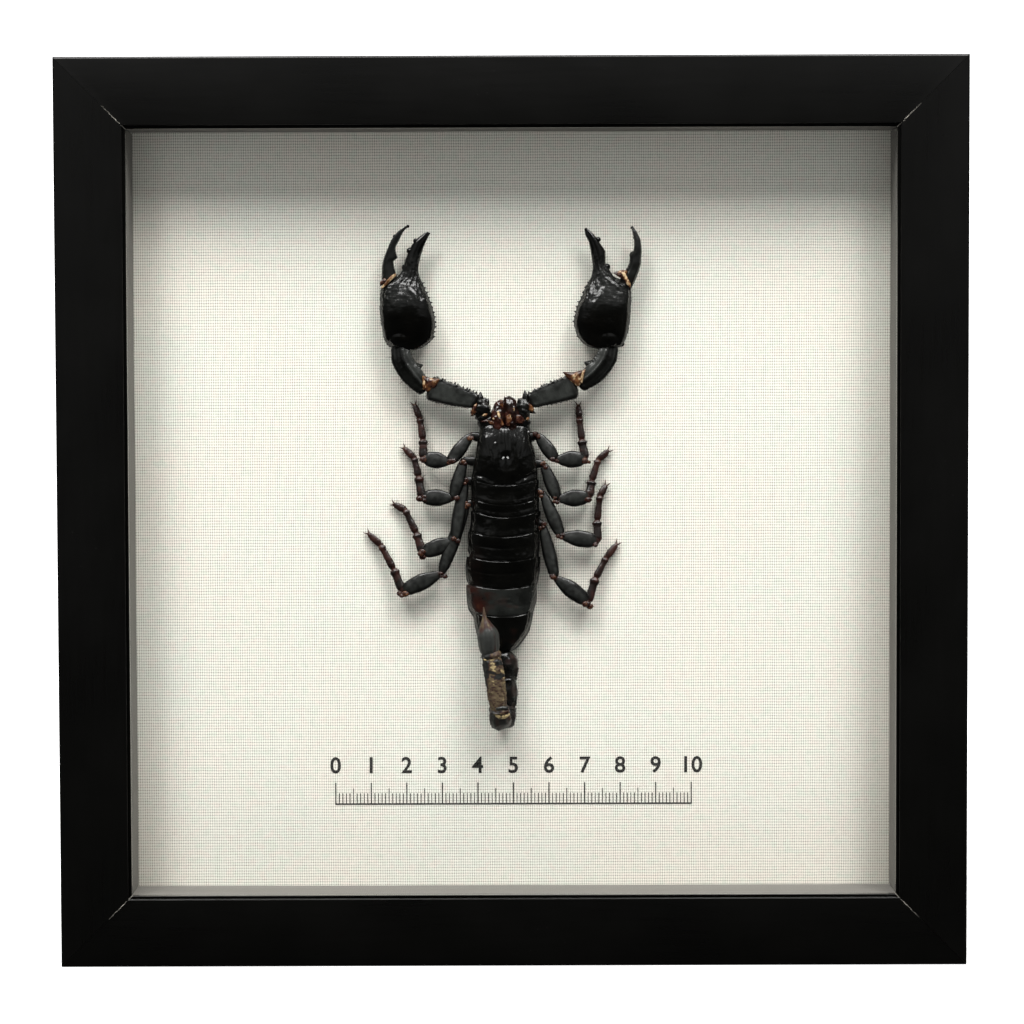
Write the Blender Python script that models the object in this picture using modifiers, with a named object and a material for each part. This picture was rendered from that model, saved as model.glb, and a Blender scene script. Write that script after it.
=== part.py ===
"""A dried black scorpion fixed on linen in a square black box frame behind glass.

The frame stands upright on its bottom edge and looks towards -Y. The origin is at the middle of its footprint.
"""

import bmesh
import bpy
from math import cos, pi, radians, sin
from mathutils import Matrix, Vector

MM = 0.001
SHARP_DEGREES = 50

# Frame, in metres.
FRAME_SIDE = 0.250
FRAME_DEPTH = 0.035
FACE_WIDTH = 0.0187
SIGHT_STEP = 0.0009
SIGHT_STEP_DROP = 0.0009
LIP_THICKNESS = 0.0030
WALL_THICKNESS = 0.0130
EDGE_ROUND = 0.0008
GAP = 0.0003

# What lies behind the lip, front to back.
GLASS_THICKNESS = 0.0020
LINEN_DEPTH = 0.0200
LINEN_THICKNESS = 0.0005
LINEN_MARGIN = 0.0200
BOARD_THICKNESS = 0.0040
PANEL_THICKNESS = 0.0030
SPACER_SET_BACK = 0.0002

# Fastenings on the back.
TAB_WIDTH = 0.0080
TAB_REACH = 0.0090
TAB_BITE = 0.0045
TAB_THICKNESS = 0.0006
TAB_OFFSET = 0.0550
HANGER_WIDTH = 0.0460
HANGER_HEIGHT = 0.0090
HANGER_THICKNESS = 0.0010
HANGER_TOOTH = 0.0022
HANGER_TEETH = 9
HANGER_DROP = 0.0200
NAIL_SPACING = 0.0380
NAIL_RADIUS = 0.0008
NAIL_HEAD_RADIUS = 0.0021
NAIL_HEAD_HEIGHT = 0.0008
NAIL_BITE = 0.0020

# Positions that follow from the sizes above.
HALF_SIDE = FRAME_SIDE / 2
FRONT_Y = -FRAME_DEPTH / 2
LIP_WIDTH = FACE_WIDTH + SIGHT_STEP
SIGHT_HALF = HALF_SIDE - LIP_WIDTH
RABBET_HALF = HALF_SIDE - WALL_THICKNESS - GAP
GLASS_Y = FRONT_Y + LIP_THICKNESS + GAP
SPACER_Y = GLASS_Y + GLASS_THICKNESS + GAP
LINEN_Y = FRONT_Y + LINEN_DEPTH
BOARD_Y = LINEN_Y + LINEN_THICKNESS + GAP
LINEN_BACK_Y = BOARD_Y + BOARD_THICKNESS + GAP
PANEL_Y = LINEN_BACK_Y + LINEN_THICKNESS + GAP
PANEL_BACK_Y = PANEL_Y + PANEL_THICKNESS

# Specimen. Places are in millimetres across and up from the middle of the frame, and off the linen.
BELLY_LIFT = 0.3
BODY_SIDES = 20
ARM_SIDES = 10
CLAW_SIDES = 12
LEG_SIDES = 7
FOOT_SIDES = 6
SPIKE_SIDES = 5
# How far a limb piece reaches past its end stations, as a share of its half width there, and how slim it ends.
LIMB_OVERHANG = 0.35
LIMB_END = 0.6
TAIL_END = 0.8
# A piece whose way has less than this share along the linen counts as standing up from it.
STEEP = 0.35
# The trunk's section: height of its widest line, and how square its plan and its arch are.
SIDE_LINE = 0.42
SIDE_FULLNESS = 0.80
ARCH_FULLNESS = 0.75

# Body stations from the front lobes to the tail: up, left edge, right edge, top of the back.
CARAPACE = (
    (25.2, -6.6, 3.0, 5.4),
    (24.4, -8.6, 4.6, 6.6),
    (19.6, -9.6, 5.3, 7.8),
    (15.2, -10.4, 6.4, 8.6),
    (10.8, -11.0, 7.0, 8.4),
    (7.4, -11.0, 7.1, 7.9),
)
# Back plates: front edge, rear edge, left edge, right edge, top.
BACK_PLATES = (
    (6.6, 1.7, -11.2, 7.2, 8.3),
    (1.6, -1.9, -11.3, 7.4, 8.7),
    (-2.0, -6.8, -11.6, 7.5, 9.0),
    (-6.9, -13.7, -12.6, 7.6, 9.2),
    (-13.8, -21.2, -13.2, 7.6, 9.0),
    (-21.3, -29.0, -12.9, 6.8, 8.3),
    (-29.1, -38.6, -10.9, 5.3, 7.2),
)
PLATE_STEP = 0.45
# The last plate's rear edge against its middle: width, shift across and height.
LAST_PLATE_WIDTH = 0.52
LAST_PLATE_SHIFT = 0.58
LAST_PLATE_HEIGHT = 0.86

# Leg joints from the hip to the foot: across, up, off the linen.
LEGS = {
    "left_1": ((-7.5, 20.0, 3.2), (-11.5, 21.2, 3.6), (-17.5, 13.7, 4.4), (-24.8, 14.8, 3.8),
               (-24.9, 19.8, 2.8), (-25.8, 25.8, 1.8), (-27.3, 29.7, 1.0)),
    "left_2": ((-8.5, 13.5, 3.2), (-13.5, 14.3, 3.6), (-16.5, 3.7, 4.4), (-25.3, 3.8, 3.8),
               (-26.2, 9.5, 2.8), (-27.4, 14.7, 1.8), (-30.3, 17.6, 1.0)),
    "left_3": ((-8.5, 8.0, 3.2), (-13.2, 8.6, 3.6), (-16.2, -8.2, 4.4), (-25.2, -11.6, 3.8),
               (-26.8, -6.4, 2.8), (-30.0, 0.2, 1.8), (-33.3, 1.9, 1.0)),
    "left_4": ((-8.5, 2.0, 3.2), (-12.6, 2.2, 3.6), (-19.9, -17.3, 4.4), (-30.9, -22.3, 3.8),
               (-33.2, -16.4, 2.8), (-36.8, -9.7, 1.8), (-40.5, -6.2, 1.0)),
    "right_1": ((3.5, 20.0, 3.2), (7.0, 21.2, 3.6), (12.1, 14.3, 4.4), (20.3, 14.4, 3.8),
                (19.4, 19.6, 2.8), (18.7, 25.7, 1.8), (18.5, 29.4, 1.0)),
    "right_2": ((4.0, 13.2, 3.2), (8.6, 13.2, 3.6), (12.6, 3.3, 4.4), (21.4, 3.8, 3.8),
                (22.1, 8.2, 2.8), (23.9, 14.0, 1.8), (26.9, 16.7, 1.0)),
    "right_3": ((4.5, 6.0, 3.2), (8.5, 4.9, 3.6), (13.5, -7.0, 4.4), (23.7, -8.5, 3.8),
                (23.6, -3.0, 2.8), (24.4, 3.9, 1.8), (26.2, 7.1, 1.0)),
    "right_4": ((4.5, -2.0, 3.2), (8.3, -3.8, 3.6), (11.8, -18.6, 4.4), (21.0, -25.6, 3.8),
                (23.1, -19.0, 2.8), (26.1, -13.4, 1.8), (29.2, -9.4, 1.0)),
}
# Leg pieces from the hip: half width, half height.
LEG_PIECES = ((2.0, 1.7), (1.9, 1.4), (2.35, 1.5), (1.25, 1.0), (1.0, 0.85), (0.9, 0.7))
LEG_PIECE_END = 0.7

# Arm chains: the ends of each piece with its half width and half height there.
ARMS = {
    "left": {
        "coxa": ((-5.2, 20.5, 3.6, 2.4, 2.2), (-7.3, 25.4, 3.8, 2.7, 2.4)),
        "trochanter": ((-9.0, 28.4, 4.0, 2.8, 2.4), (-9.4, 30.8, 4.3, 2.9, 2.5)),
        "shoulder_spikes": (((-9.0, 31.6, 4.8), (-9.2, 33.8, 5.0)), ((-10.9, 28.4, 4.4), (-12.2, 26.6, 4.4))),
        "femur": ((-10.3, 30.7, 4.4, 2.1, 2.0), (-16.5, 32.4, 4.6, 3.0, 2.3), (-22.4, 34.2, 4.8, 3.4, 2.5)),
        "patella": ((-24.4, 34.2, 4.8, 2.3, 2.3), (-28.3, 38.6, 5.0, 3.1, 2.7), (-30.6, 42.6, 5.0, 3.0, 2.6),
                    (-31.2, 46.2, 4.8, 2.4, 2.2)),
        "spur": ((-26.0, 40.2, 5.2), (-24.1, 40.8, 5.2)),
        "spine_line": ((-19.8, 36.0, 5.2), (-12.6, 33.1, 4.8)),
        "granule_line": ((-22.6, 58.0, 4.6), (-22.1, 49.0, 4.6)),
        "granule_way": (1.0, 0.0),
        "hand": ((45.1, -31.5, -26.8, 2.4), (46.0, -34.2, -24.3, 3.0), (48.6, -35.6, -21.9, 3.7),
                 (52.5, -36.3, -21.4, 4.1), (56.6, -36.6, -22.2, 4.2), (60.2, -36.5, -23.5, 3.7),
                 (62.6, -36.1, -24.6, 3.0), (65.2, -31.6, -25.6, 2.1), (67.4, -30.0, -26.0, 1.8),
                 (70.0, -28.9, -25.5, 1.6), (72.5, -27.7, -24.7, 1.4), (75.2, -25.9, -23.5, 1.1),
                 (77.2, -23.2, -22.4, 0.4)),
        "finger": ((61.6, -36.1, -33.0, 1.7), (64.6, -36.2, -31.7, 2.0), (67.2, -36.1, -32.4, 1.8),
                   (69.4, -35.8, -32.8, 1.7), (70.6, -35.4, -31.8, 1.6), (73.0, -34.5, -32.2, 1.5),
                   (75.6, -33.3, -31.1, 1.2), (77.8, -31.6, -29.9, 0.9), (79.4, -29.2, -28.4, 0.4)),
    },
    "right": {
        "coxa": ((1.2, 20.5, 3.6, 2.4, 2.2), (2.8, 25.4, 3.8, 2.5, 2.4)),
        "trochanter": ((4.5, 28.4, 4.0, 2.5, 2.4), (4.9, 30.8, 4.3, 2.8, 2.5)),
        "shoulder_spikes": (((3.7, 31.6, 4.8), (3.5, 33.9, 5.0)), ((5.6, 28.4, 4.4), (7.1, 26.9, 4.4))),
        "femur": ((5.2, 30.8, 4.4, 2.1, 2.0), (11.2, 32.8, 4.6, 3.0, 2.3), (16.9, 34.6, 4.8, 3.4, 2.5)),
        "patella": ((19.0, 35.3, 4.8, 2.3, 2.3), (23.4, 38.8, 5.0, 3.0, 2.7), (26.1, 42.6, 5.0, 3.0, 2.6),
                    (27.2, 46.2, 4.8, 2.4, 2.2)),
        "spur": ((21.6, 40.6, 5.2), (19.9, 41.3, 5.2)),
        "spine_line": ((14.0, 36.8, 5.2), (7.0, 33.6, 4.8)),
        "granule_line": ((19.0, 57.6, 4.6), (18.1, 49.0, 4.6)),
        "granule_way": (-1.0, 0.0),
        "hand": ((45.1, 24.0, 28.0, 2.4), (46.1, 20.8, 30.6, 3.0), (48.6, 18.4, 31.9, 3.7),
                 (52.5, 17.4, 32.6, 4.1), (56.4, 18.1, 32.9, 4.2), (59.5, 19.5, 33.1, 3.7),
                 (62.2, 20.6, 33.0, 3.0), (65.2, 22.1, 28.4, 2.1), (67.2, 22.4, 27.0, 1.8),
                 (69.2, 22.3, 26.0, 1.6), (71.6, 22.0, 26.0, 1.4), (74.6, 21.4, 24.4, 1.1),
                 (76.8, 20.4, 22.8, 0.8), (78.4, 20.2, 21.1, 0.35)),
        "finger": ((61.0, 30.4, 33.0, 1.7), (64.2, 30.0, 34.4, 2.0), (66.8, 31.4, 35.4, 1.8),
                   (69.0, 32.6, 35.9, 1.7), (70.7, 32.7, 36.0, 1.6), (72.4, 33.8, 36.1, 1.5),
                   (75.0, 33.9, 35.8, 1.2), (77.0, 33.6, 35.0, 0.9), (78.8, 33.1, 33.8, 0.4)),
    },
}
HAND_LIFT = 4.7
SPINES_PER_ARM = 5
GRANULES_PER_HAND = 5
SPINE_HEIGHT = 0.9
GRANULE_HEIGHT = 0.7
SPIKE_RADIUS = 0.45
SPIKE_TIP_RADIUS = 0.08
SPUR_RADIUS = 0.7
# Share of a spike's height that stands above its foot to the middle of its cone, and the cone's height.
SPIKE_MIDDLE = 0.35
SPIKE_LENGTH = 1.3

# Mouthparts: the two ends of each with half width and half height.
MOUTHPARTS = (
    ((-3.8, 22.0, 5.0, 1.8, 1.8), (-3.9, 26.2, 4.9, 2.1, 2.2), (-3.4, 29.2, 4.6, 1.7, 1.7),
     (-2.8, 30.6, 4.4, 0.8, 0.8)),
    ((-0.2, 22.0, 5.0, 1.8, 1.8), (-0.2, 26.6, 4.9, 2.2, 2.3), (-0.8, 30.2, 4.6, 1.9, 1.8),
     (-1.4, 31.6, 4.4, 0.9, 0.9)),
)

# Tail pieces from the body to the sting, first back along the linen, then folded forward on top of itself.
TAIL = (
    ((-3.5, -40.4, 3.8, 3.2, 3.0), (-2.6, -43.2, 3.8, 4.1, 3.3), (-2.5, -47.2, 3.7, 3.5, 3.0)),
    ((-2.4, -46.6, 3.7, 3.1, 2.8), (-2.5, -51.0, 3.7, 3.7, 3.2), (-2.7, -55.6, 3.8, 3.3, 3.0)),
    ((-2.7, -54.6, 3.8, 3.0, 2.9), (-2.6, -57.0, 4.3, 3.4, 3.1), (-2.9, -58.6, 6.0, 3.0, 2.6)),
    ((-3.3, -58.7, 6.2, 2.8, 2.4), (-3.7, -57.6, 8.4, 3.0, 2.6), (-4.0, -54.6, 9.9, 2.6, 2.3)),
    ((-4.0, -55.2, 9.9, 2.2, 2.0), (-4.6, -50.0, 10.1, 2.6, 2.3), (-5.3, -44.5, 10.2, 2.8, 2.4),
     (-6.1, -39.2, 10.4, 2.6, 2.2)),
    ((-6.3, -40.2, 10.5, 1.7, 1.6), (-6.6, -37.8, 10.7, 2.8, 2.4), (-6.9, -34.4, 10.8, 3.0, 2.6),
     (-7.6, -30.6, 10.9, 1.4, 1.5), (-7.9, -29.0, 11.1, 0.6, 0.7), (-8.1, -26.4, 11.0, 0.2, 0.25)),
)

# Finishes: base colour, roughness, metallic.
FINISHES = {
    "black_moulding": ((0.010, 0.010, 0.009), 0.42, 0.0),
    "clear_glass": ((0.90, 0.95, 0.93), 0.02, 0.0),
    "cream_linen": ((0.78, 0.74, 0.66), 0.90, 0.0),
    "white_board": ((0.85, 0.85, 0.83), 0.80, 0.0),
    "brown_fibreboard": ((0.20, 0.12, 0.065), 0.75, 0.0),
    "plated_steel": ((0.55, 0.54, 0.52), 0.35, 1.0),
    "black_shell": ((0.012, 0.011, 0.011), 0.28, 0.0),
}


def clear_scene():
    """Start from a scene without objects."""
    for item in list(bpy.data.objects):
        bpy.data.objects.remove(item)


def new_collection(name):
    """Make a collection under the scene's own."""
    group = bpy.data.collections.new(name)
    bpy.context.scene.collection.children.link(group)
    return group


def finish_of(name, label):
    """A Principled material of its own for one sub-part."""
    colour, roughness, metallic = FINISHES[name]
    material = bpy.data.materials.new(f"{label}_{name}")
    material.use_nodes = True
    shader = material.node_tree.nodes["Principled BSDF"]
    shader.inputs["Base Color"].default_value = (*colour, 1.0)
    shader.inputs["Roughness"].default_value = roughness
    shader.inputs["Metallic"].default_value = metallic
    material.diffuse_color = (*colour, 1.0)
    return material


def object_from(bm, name, group, finish, smooth=False):
    """Turn a bmesh with outward faces into an object in a collection."""
    bmesh.ops.recalc_face_normals(bm, faces=bm.faces)
    mesh = bpy.data.meshes.new(name)
    bm.to_mesh(mesh)
    bm.free()
    if smooth:
        mesh.shade_smooth()
        mesh.set_sharp_from_angle(angle=radians(SHARP_DEGREES))
    item = bpy.data.objects.new(name, mesh)
    item.data.materials.append(finish_of(finish, name))
    group.objects.link(item)
    return item


def as_cutter(item):
    """Mark a helper shape, which is left out of the part."""
    item.hide_render = True
    item.display_type = "WIRE"
    return item


def box(name, low, high, group, finish):
    """A plain block between two corners."""
    low, high = Vector(low), Vector(high)
    place = Matrix.Translation((low + high) / 2) @ Matrix.Diagonal((*(high - low), 1.0))
    bm = bmesh.new()
    bmesh.ops.create_cube(bm, size=1.0, matrix=place)
    return object_from(bm, name, group, finish)


def extruded(bm, outline, along):
    """Extrude a closed outline of points along a vector."""
    face = bm.faces.new([bm.verts.new(point) for point in outline])
    swept = bmesh.ops.extrude_face_region(bm, geom=[face])
    moved = [part for part in swept["geom"] if isinstance(part, bmesh.types.BMVert)]
    bmesh.ops.translate(bm, verts=moved, vec=along)


def cylinder(bm, centre_x, centre_z, y_from, y_to, radius, sides=16):
    """A round bar along Y."""
    place = Matrix.Translation((centre_x, (y_from + y_to) / 2, centre_z)) @ Matrix.Rotation(pi / 2, 4, "X")
    bmesh.ops.create_cone(bm, cap_ends=True, segments=sides, radius1=radius, radius2=radius,
                          depth=y_to - y_from, matrix=place)


def cut(item, cutter):
    """Take a cutter away from an object."""
    boolean = item.modifiers.new(f"cut_{cutter.name}", "BOOLEAN")
    boolean.operation = "DIFFERENCE"
    boolean.solver = "EXACT"
    boolean.object = cutter


def moulding_outline():
    """Section of a moulding: distance in from the outer edge, and depth from the front."""
    corner = [(EDGE_ROUND * (1 - cos(turn)), EDGE_ROUND * (1 - sin(turn))) for turn in (0, pi / 6, pi / 3, pi / 2)]
    return corner + [
        (FACE_WIDTH, 0.0),
        (FACE_WIDTH, SIGHT_STEP_DROP),
        (LIP_WIDTH, SIGHT_STEP_DROP),
        (LIP_WIDTH, LIP_THICKNESS),
        (WALL_THICKNESS, LIP_THICKNESS),
        (WALL_THICKNESS, FRAME_DEPTH),
        (0.0, FRAME_DEPTH),
    ]


def slot_cutter(name, turn, group):
    """The two slots in one moulding's wall that its tabs are driven into."""
    bm = bmesh.new()
    for side in (-1, 1):
        low = Vector((side * TAB_OFFSET - TAB_WIDTH / 2 - GAP, PANEL_BACK_Y,
                      HALF_SIDE - WALL_THICKNESS - 1 * MM))
        high = Vector((side * TAB_OFFSET + TAB_WIDTH / 2 + GAP, PANEL_BACK_Y + TAB_THICKNESS + 2 * GAP,
                       HALF_SIDE - WALL_THICKNESS + TAB_BITE + GAP))
        place = Matrix.Translation((low + high) / 2) @ Matrix.Diagonal((*(high - low), 1.0))
        bmesh.ops.create_cube(bm, size=1.0, matrix=turn @ place)
    return as_cutter(object_from(bm, name, group, "black_moulding"))


def moulding(name, degrees, parts, cutters):
    """One mitred moulding, made as the top one and turned about the frame's middle."""
    centre = Matrix.Translation((0.0, 0.0, HALF_SIDE))
    turn = centre @ Matrix.Rotation(radians(degrees), 4, "Y")
    outline = [Vector((-HALF_SIDE, FRONT_Y + depth, HALF_SIDE - inward)) for inward, depth in moulding_outline()]
    bm = bmesh.new()
    extruded(bm, outline, (FRAME_SIDE, 0.0, 0.0))
    for side in (-1, 1):
        mitre = Vector((side, 0.0, -1.0)).normalized()
        whole = bm.verts[:] + bm.edges[:] + bm.faces[:]
        section = bmesh.ops.bisect_plane(bm, geom=whole, plane_co=mitre * -GAP / 2, plane_no=mitre, clear_outer=True)
        edges = [part for part in section["geom_cut"] if isinstance(part, bmesh.types.BMEdge)]
        bmesh.ops.contextual_create(bm, geom=edges)
    bmesh.ops.transform(bm, matrix=turn, verts=bm.verts)
    item = object_from(bm, name, parts, "black_moulding")
    cut(item, slot_cutter(f"{name}_slots", turn, cutters))
    return item


def back_tabs(parts):
    """Flat steel tabs, two to a side, driven into the walls and lying over the back panel."""
    number = 1
    y_from = PANEL_BACK_Y + GAP
    for degrees in (0, 90, 180, 270):
        turn = Matrix.Translation((0.0, 0.0, HALF_SIDE)) @ Matrix.Rotation(radians(degrees), 4, "Y")
        for side in (-1, 1):
            tip = HALF_SIDE - WALL_THICKNESS - TAB_REACH
            root = HALF_SIDE - WALL_THICKNESS + TAB_BITE
            left, right = side * TAB_OFFSET - TAB_WIDTH / 2, side * TAB_OFFSET + TAB_WIDTH / 2
            corner = TAB_WIDTH / 4
            outline = [(left, root), (left, tip + corner), (left + corner, tip), (right - corner, tip),
                       (right, tip + corner), (right, root)]
            bm = bmesh.new()
            extruded(bm, [Vector((x, y_from, z)) for x, z in outline], (0.0, TAB_THICKNESS, 0.0))
            bmesh.ops.transform(bm, matrix=turn, verts=bm.verts)
            object_from(bm, f"back_tab_{number}", parts, "plated_steel")
            number += 1


def linen_sheet(parts):
    """Cloth pulled over the board's front and edges and turned onto its back."""
    low = Vector((-RABBET_HALF, LINEN_Y, HALF_SIDE - RABBET_HALF))
    high = Vector((RABBET_HALF, LINEN_BACK_Y + LINEN_THICKNESS, HALF_SIDE + RABBET_HALF))
    place = Matrix.Translation((low + high) / 2) @ Matrix.Diagonal((*(high - low), 1.0))
    bm = bmesh.new()
    bmesh.ops.create_cube(bm, size=1.0, matrix=place)
    back = max(bm.faces, key=lambda face: face.calc_center_median().y)
    bmesh.ops.inset_individual(bm, faces=[back], thickness=LINEN_MARGIN)
    bmesh.ops.delete(bm, geom=[back], context="FACES")
    item = object_from(bm, "linen", parts, "cream_linen")
    shell = item.modifiers.new("cloth_thickness", "SOLIDIFY")
    shell.thickness = LINEN_THICKNESS
    shell.offset = -1.0
    shell.use_even_offset = True


def flat_pieces(parts, cutters):
    """Glass, spacer strips, board and back panel."""
    floor, roof = HALF_SIDE - RABBET_HALF, HALF_SIDE + RABBET_HALF
    box("glass", (-RABBET_HALF, GLASS_Y, floor), (RABBET_HALF, GLASS_Y + GLASS_THICKNESS, roof), parts, "clear_glass")
    inner = SIGHT_HALF + SPACER_SET_BACK
    back = LINEN_Y - GAP
    for name, sign in (("spacer_bottom", -1), ("spacer_top", 1)):
        near, far = sorted((HALF_SIDE + sign * inner, HALF_SIDE + sign * RABBET_HALF))
        box(name, (-RABBET_HALF, SPACER_Y, near), (RABBET_HALF, back, far), parts, "cream_linen")
    for name, sign in (("spacer_left", -1), ("spacer_right", 1)):
        near, far = sorted((sign * inner, sign * RABBET_HALF))
        box(name, (near, SPACER_Y, HALF_SIDE - inner + GAP), (far, back, HALF_SIDE + inner - GAP), parts, "cream_linen")
    reach = RABBET_HALF - LINEN_THICKNESS - GAP
    box("mount_board", (-reach, BOARD_Y, HALF_SIDE - reach), (reach, BOARD_Y + BOARD_THICKNESS, HALF_SIDE + reach),
        parts, "white_board")
    panel = box("back_panel", (-RABBET_HALF, PANEL_Y, floor), (RABBET_HALF, PANEL_BACK_Y, roof),
                parts, "brown_fibreboard")
    cut(panel, nail_holes("panel_nail_holes", PANEL_BACK_Y - NAIL_BITE - GAP, PANEL_BACK_Y + 1 * MM, cutters))


def nail_holes(name, y_from, y_to, cutters):
    """The two holes that the hanger's nails stand in."""
    bm = bmesh.new()
    height = HALF_SIDE + RABBET_HALF - HANGER_DROP
    for side in (-1, 1):
        cylinder(bm, side * NAIL_SPACING / 2, height, y_from, y_to, NAIL_RADIUS + GAP)
    return as_cutter(object_from(bm, name, cutters, "plated_steel"))


def hanger(parts, cutters):
    """Toothed hanging plate, nailed to the back panel."""
    height = HALF_SIDE + RABBET_HALF - HANGER_DROP
    y_from = PANEL_BACK_Y + GAP
    left, right = -HANGER_WIDTH / 2, HANGER_WIDTH / 2
    top, bottom = height + HANGER_HEIGHT / 2, height - HANGER_HEIGHT / 2
    toothed = HANGER_WIDTH - 2 * HANGER_HEIGHT
    pitch = toothed / HANGER_TEETH
    outline = [(left, bottom), (left, top), (right, top), (right, bottom)]
    for tooth in range(HANGER_TEETH):
        start = toothed / 2 - tooth * pitch
        outline.append((start, bottom))
        outline.append((start - pitch / 2, bottom + HANGER_TOOTH))
    outline.append((-toothed / 2, bottom))
    bm = bmesh.new()
    extruded(bm, [Vector((x, y_from, z)) for x, z in outline], (0.0, HANGER_THICKNESS, 0.0))
    plate = object_from(bm, "hanger", parts, "plated_steel")
    cut(plate, nail_holes("hanger_nail_holes", y_from - 1 * MM, y_from + HANGER_THICKNESS + 1 * MM, cutters))
    head_y = y_from + HANGER_THICKNESS + GAP
    for name, side in (("hanger_nail_left", -1), ("hanger_nail_right", 1)):
        bm = bmesh.new()
        cylinder(bm, side * NAIL_SPACING / 2, height, head_y, head_y + NAIL_HEAD_HEIGHT, NAIL_HEAD_RADIUS)
        nail = object_from(bm, name, parts, "plated_steel", smooth=True)
        bm = bmesh.new()
        cylinder(bm, side * NAIL_SPACING / 2, height, PANEL_BACK_Y - NAIL_BITE, head_y + NAIL_HEAD_HEIGHT / 2,
                 NAIL_RADIUS)
        shank = as_cutter(object_from(bm, f"{name}_shank", cutters, "plated_steel"))
        join = nail.modifiers.new("shank", "BOOLEAN")
        join.operation = "UNION"
        join.solver = "EXACT"
        join.object = shank


def spot(across, up, lift):
    """A place on the specimen: millimetres across and up from the frame's middle, and off the linen."""
    return Vector((across * MM, LINEN_Y - lift * MM, HALF_SIDE + up * MM))


def skin(bm, rings):
    """Close a skin over rings of points with the same count, one after another."""
    loops = [[bm.verts.new(point) for point in ring] for ring in rings]
    for one, two in zip(loops, loops[1:]):
        for here in range(len(one)):
            there = (here + 1) % len(one)
            bm.faces.new((one[here], one[there], two[there], two[here]))
    bm.faces.new(loops[0][::-1])
    bm.faces.new(loops[-1])


def oval(centre, side, rise, half_width, half_height, sides):
    """A ring of points on an oval in the plane of two unit vectors."""
    ring = []
    for step in range(sides):
        turn = 2 * pi * step / sides
        ring.append(centre + side * (cos(turn) * half_width * MM) + rise * (sin(turn) * half_height * MM))
    return ring


def limb(bm, stations, sides, end_scale=LIMB_END):
    """One limb piece through stations of place, half width and half height, drawn in at both ends."""
    places = [spot(*station[:3]) for station in stations]
    halves = [Vector(station[3:5]) for station in stations]
    first_way = (places[1] - places[0]).normalized()
    last_way = (places[-1] - places[-2]).normalized()
    places = [places[0] - first_way * (halves[0].x * LIMB_OVERHANG * MM)] + places
    places.append(places[-1] + last_way * (halves[-1].x * LIMB_OVERHANG * MM))
    halves = [halves[0] * end_scale] + halves + [halves[-1] * end_scale]
    rings = []
    for index, place in enumerate(places):
        before, after = places[max(index - 1, 0)], places[min(index + 1, len(places) - 1)]
        way = (after - before).normalized()
        side = way.cross(Vector((0.0, -1.0, 0.0)))
        side = side.normalized() if side.length > STEEP else Vector((1.0, 0.0, 0.0))
        rise = side.cross(way).normalized()
        rings.append(oval(place, side, rise, halves[index].x, halves[index].y, sides))
    skin(bm, rings)


def spike(bm, foot, way, height, radius=SPIKE_RADIUS):
    """A small cone that stands on the shell."""
    turn = Vector((0.0, 0.0, 1.0)).rotation_difference(way).to_matrix().to_4x4()
    place = Matrix.Translation(foot + way * (height * SPIKE_MIDDLE * MM)) @ turn
    bmesh.ops.create_cone(bm, cap_ends=True, segments=SPIKE_SIDES, radius1=radius * MM,
                          radius2=SPIKE_TIP_RADIUS * MM, depth=height * SPIKE_LENGTH * MM, matrix=place)


def helper(bm, name, group):
    """A closed helper shape that a specimen solid is fused with."""
    return as_cutter(object_from(bm, name, group, "black_shell"))


def fuse(item, group):
    """Join every shape of a helper collection to an object as one body."""
    union = item.modifiers.new("fused", "BOOLEAN")
    union.operation = "UNION"
    union.solver = "EXACT"
    union.operand_type = "COLLECTION"
    union.collection = group


def back_ring(up, left, right, top):
    """A section of the trunk: a flat belly, full sides and an arched back."""
    half_width = (right - left) / 2
    middle = (right + left) / 2
    side_lift = SIDE_LINE * top
    ring = []
    for step in range(BODY_SIDES):
        turn = 2 * pi * step / BODY_SIDES
        out, rise = cos(turn), sin(turn)
        across = middle + half_width * abs(out) ** SIDE_FULLNESS * (1 if out > 0 else -1)
        reach = top - side_lift if rise > 0 else side_lift - BELLY_LIFT
        lift = side_lift + reach * abs(rise) ** ARCH_FULLNESS * (1 if rise > 0 else -1)
        ring.append(spot(across, up, lift))
    return ring


def trunk_rings():
    """Sections of the trunk from the front lobes to the end of the last plate."""
    rings = [back_ring(*CARAPACE[0])]
    rings += [back_ring(*station) for station in CARAPACE[1:]]
    for front, rear, left, right, top in BACK_PLATES[:-1]:
        rings.append(back_ring(front, left + PLATE_STEP, right - PLATE_STEP, top - PLATE_STEP))
        rings.append(back_ring((front + rear) / 2, left, right, top))
        rings.append(back_ring(rear, left, right, top))
    front, rear, left, right, top = BACK_PLATES[-1]
    rings.append(back_ring(front, left + PLATE_STEP, right - PLATE_STEP, top - PLATE_STEP))
    rings.append(back_ring((front + rear) / 2, left, right, top))
    middle = (left + right) / 2 + LAST_PLATE_SHIFT
    half_width = (right - left) / 2 * LAST_PLATE_WIDTH
    rings.append(back_ring(rear, middle - half_width, middle + half_width, top * LAST_PLATE_HEIGHT))
    return rings


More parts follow.
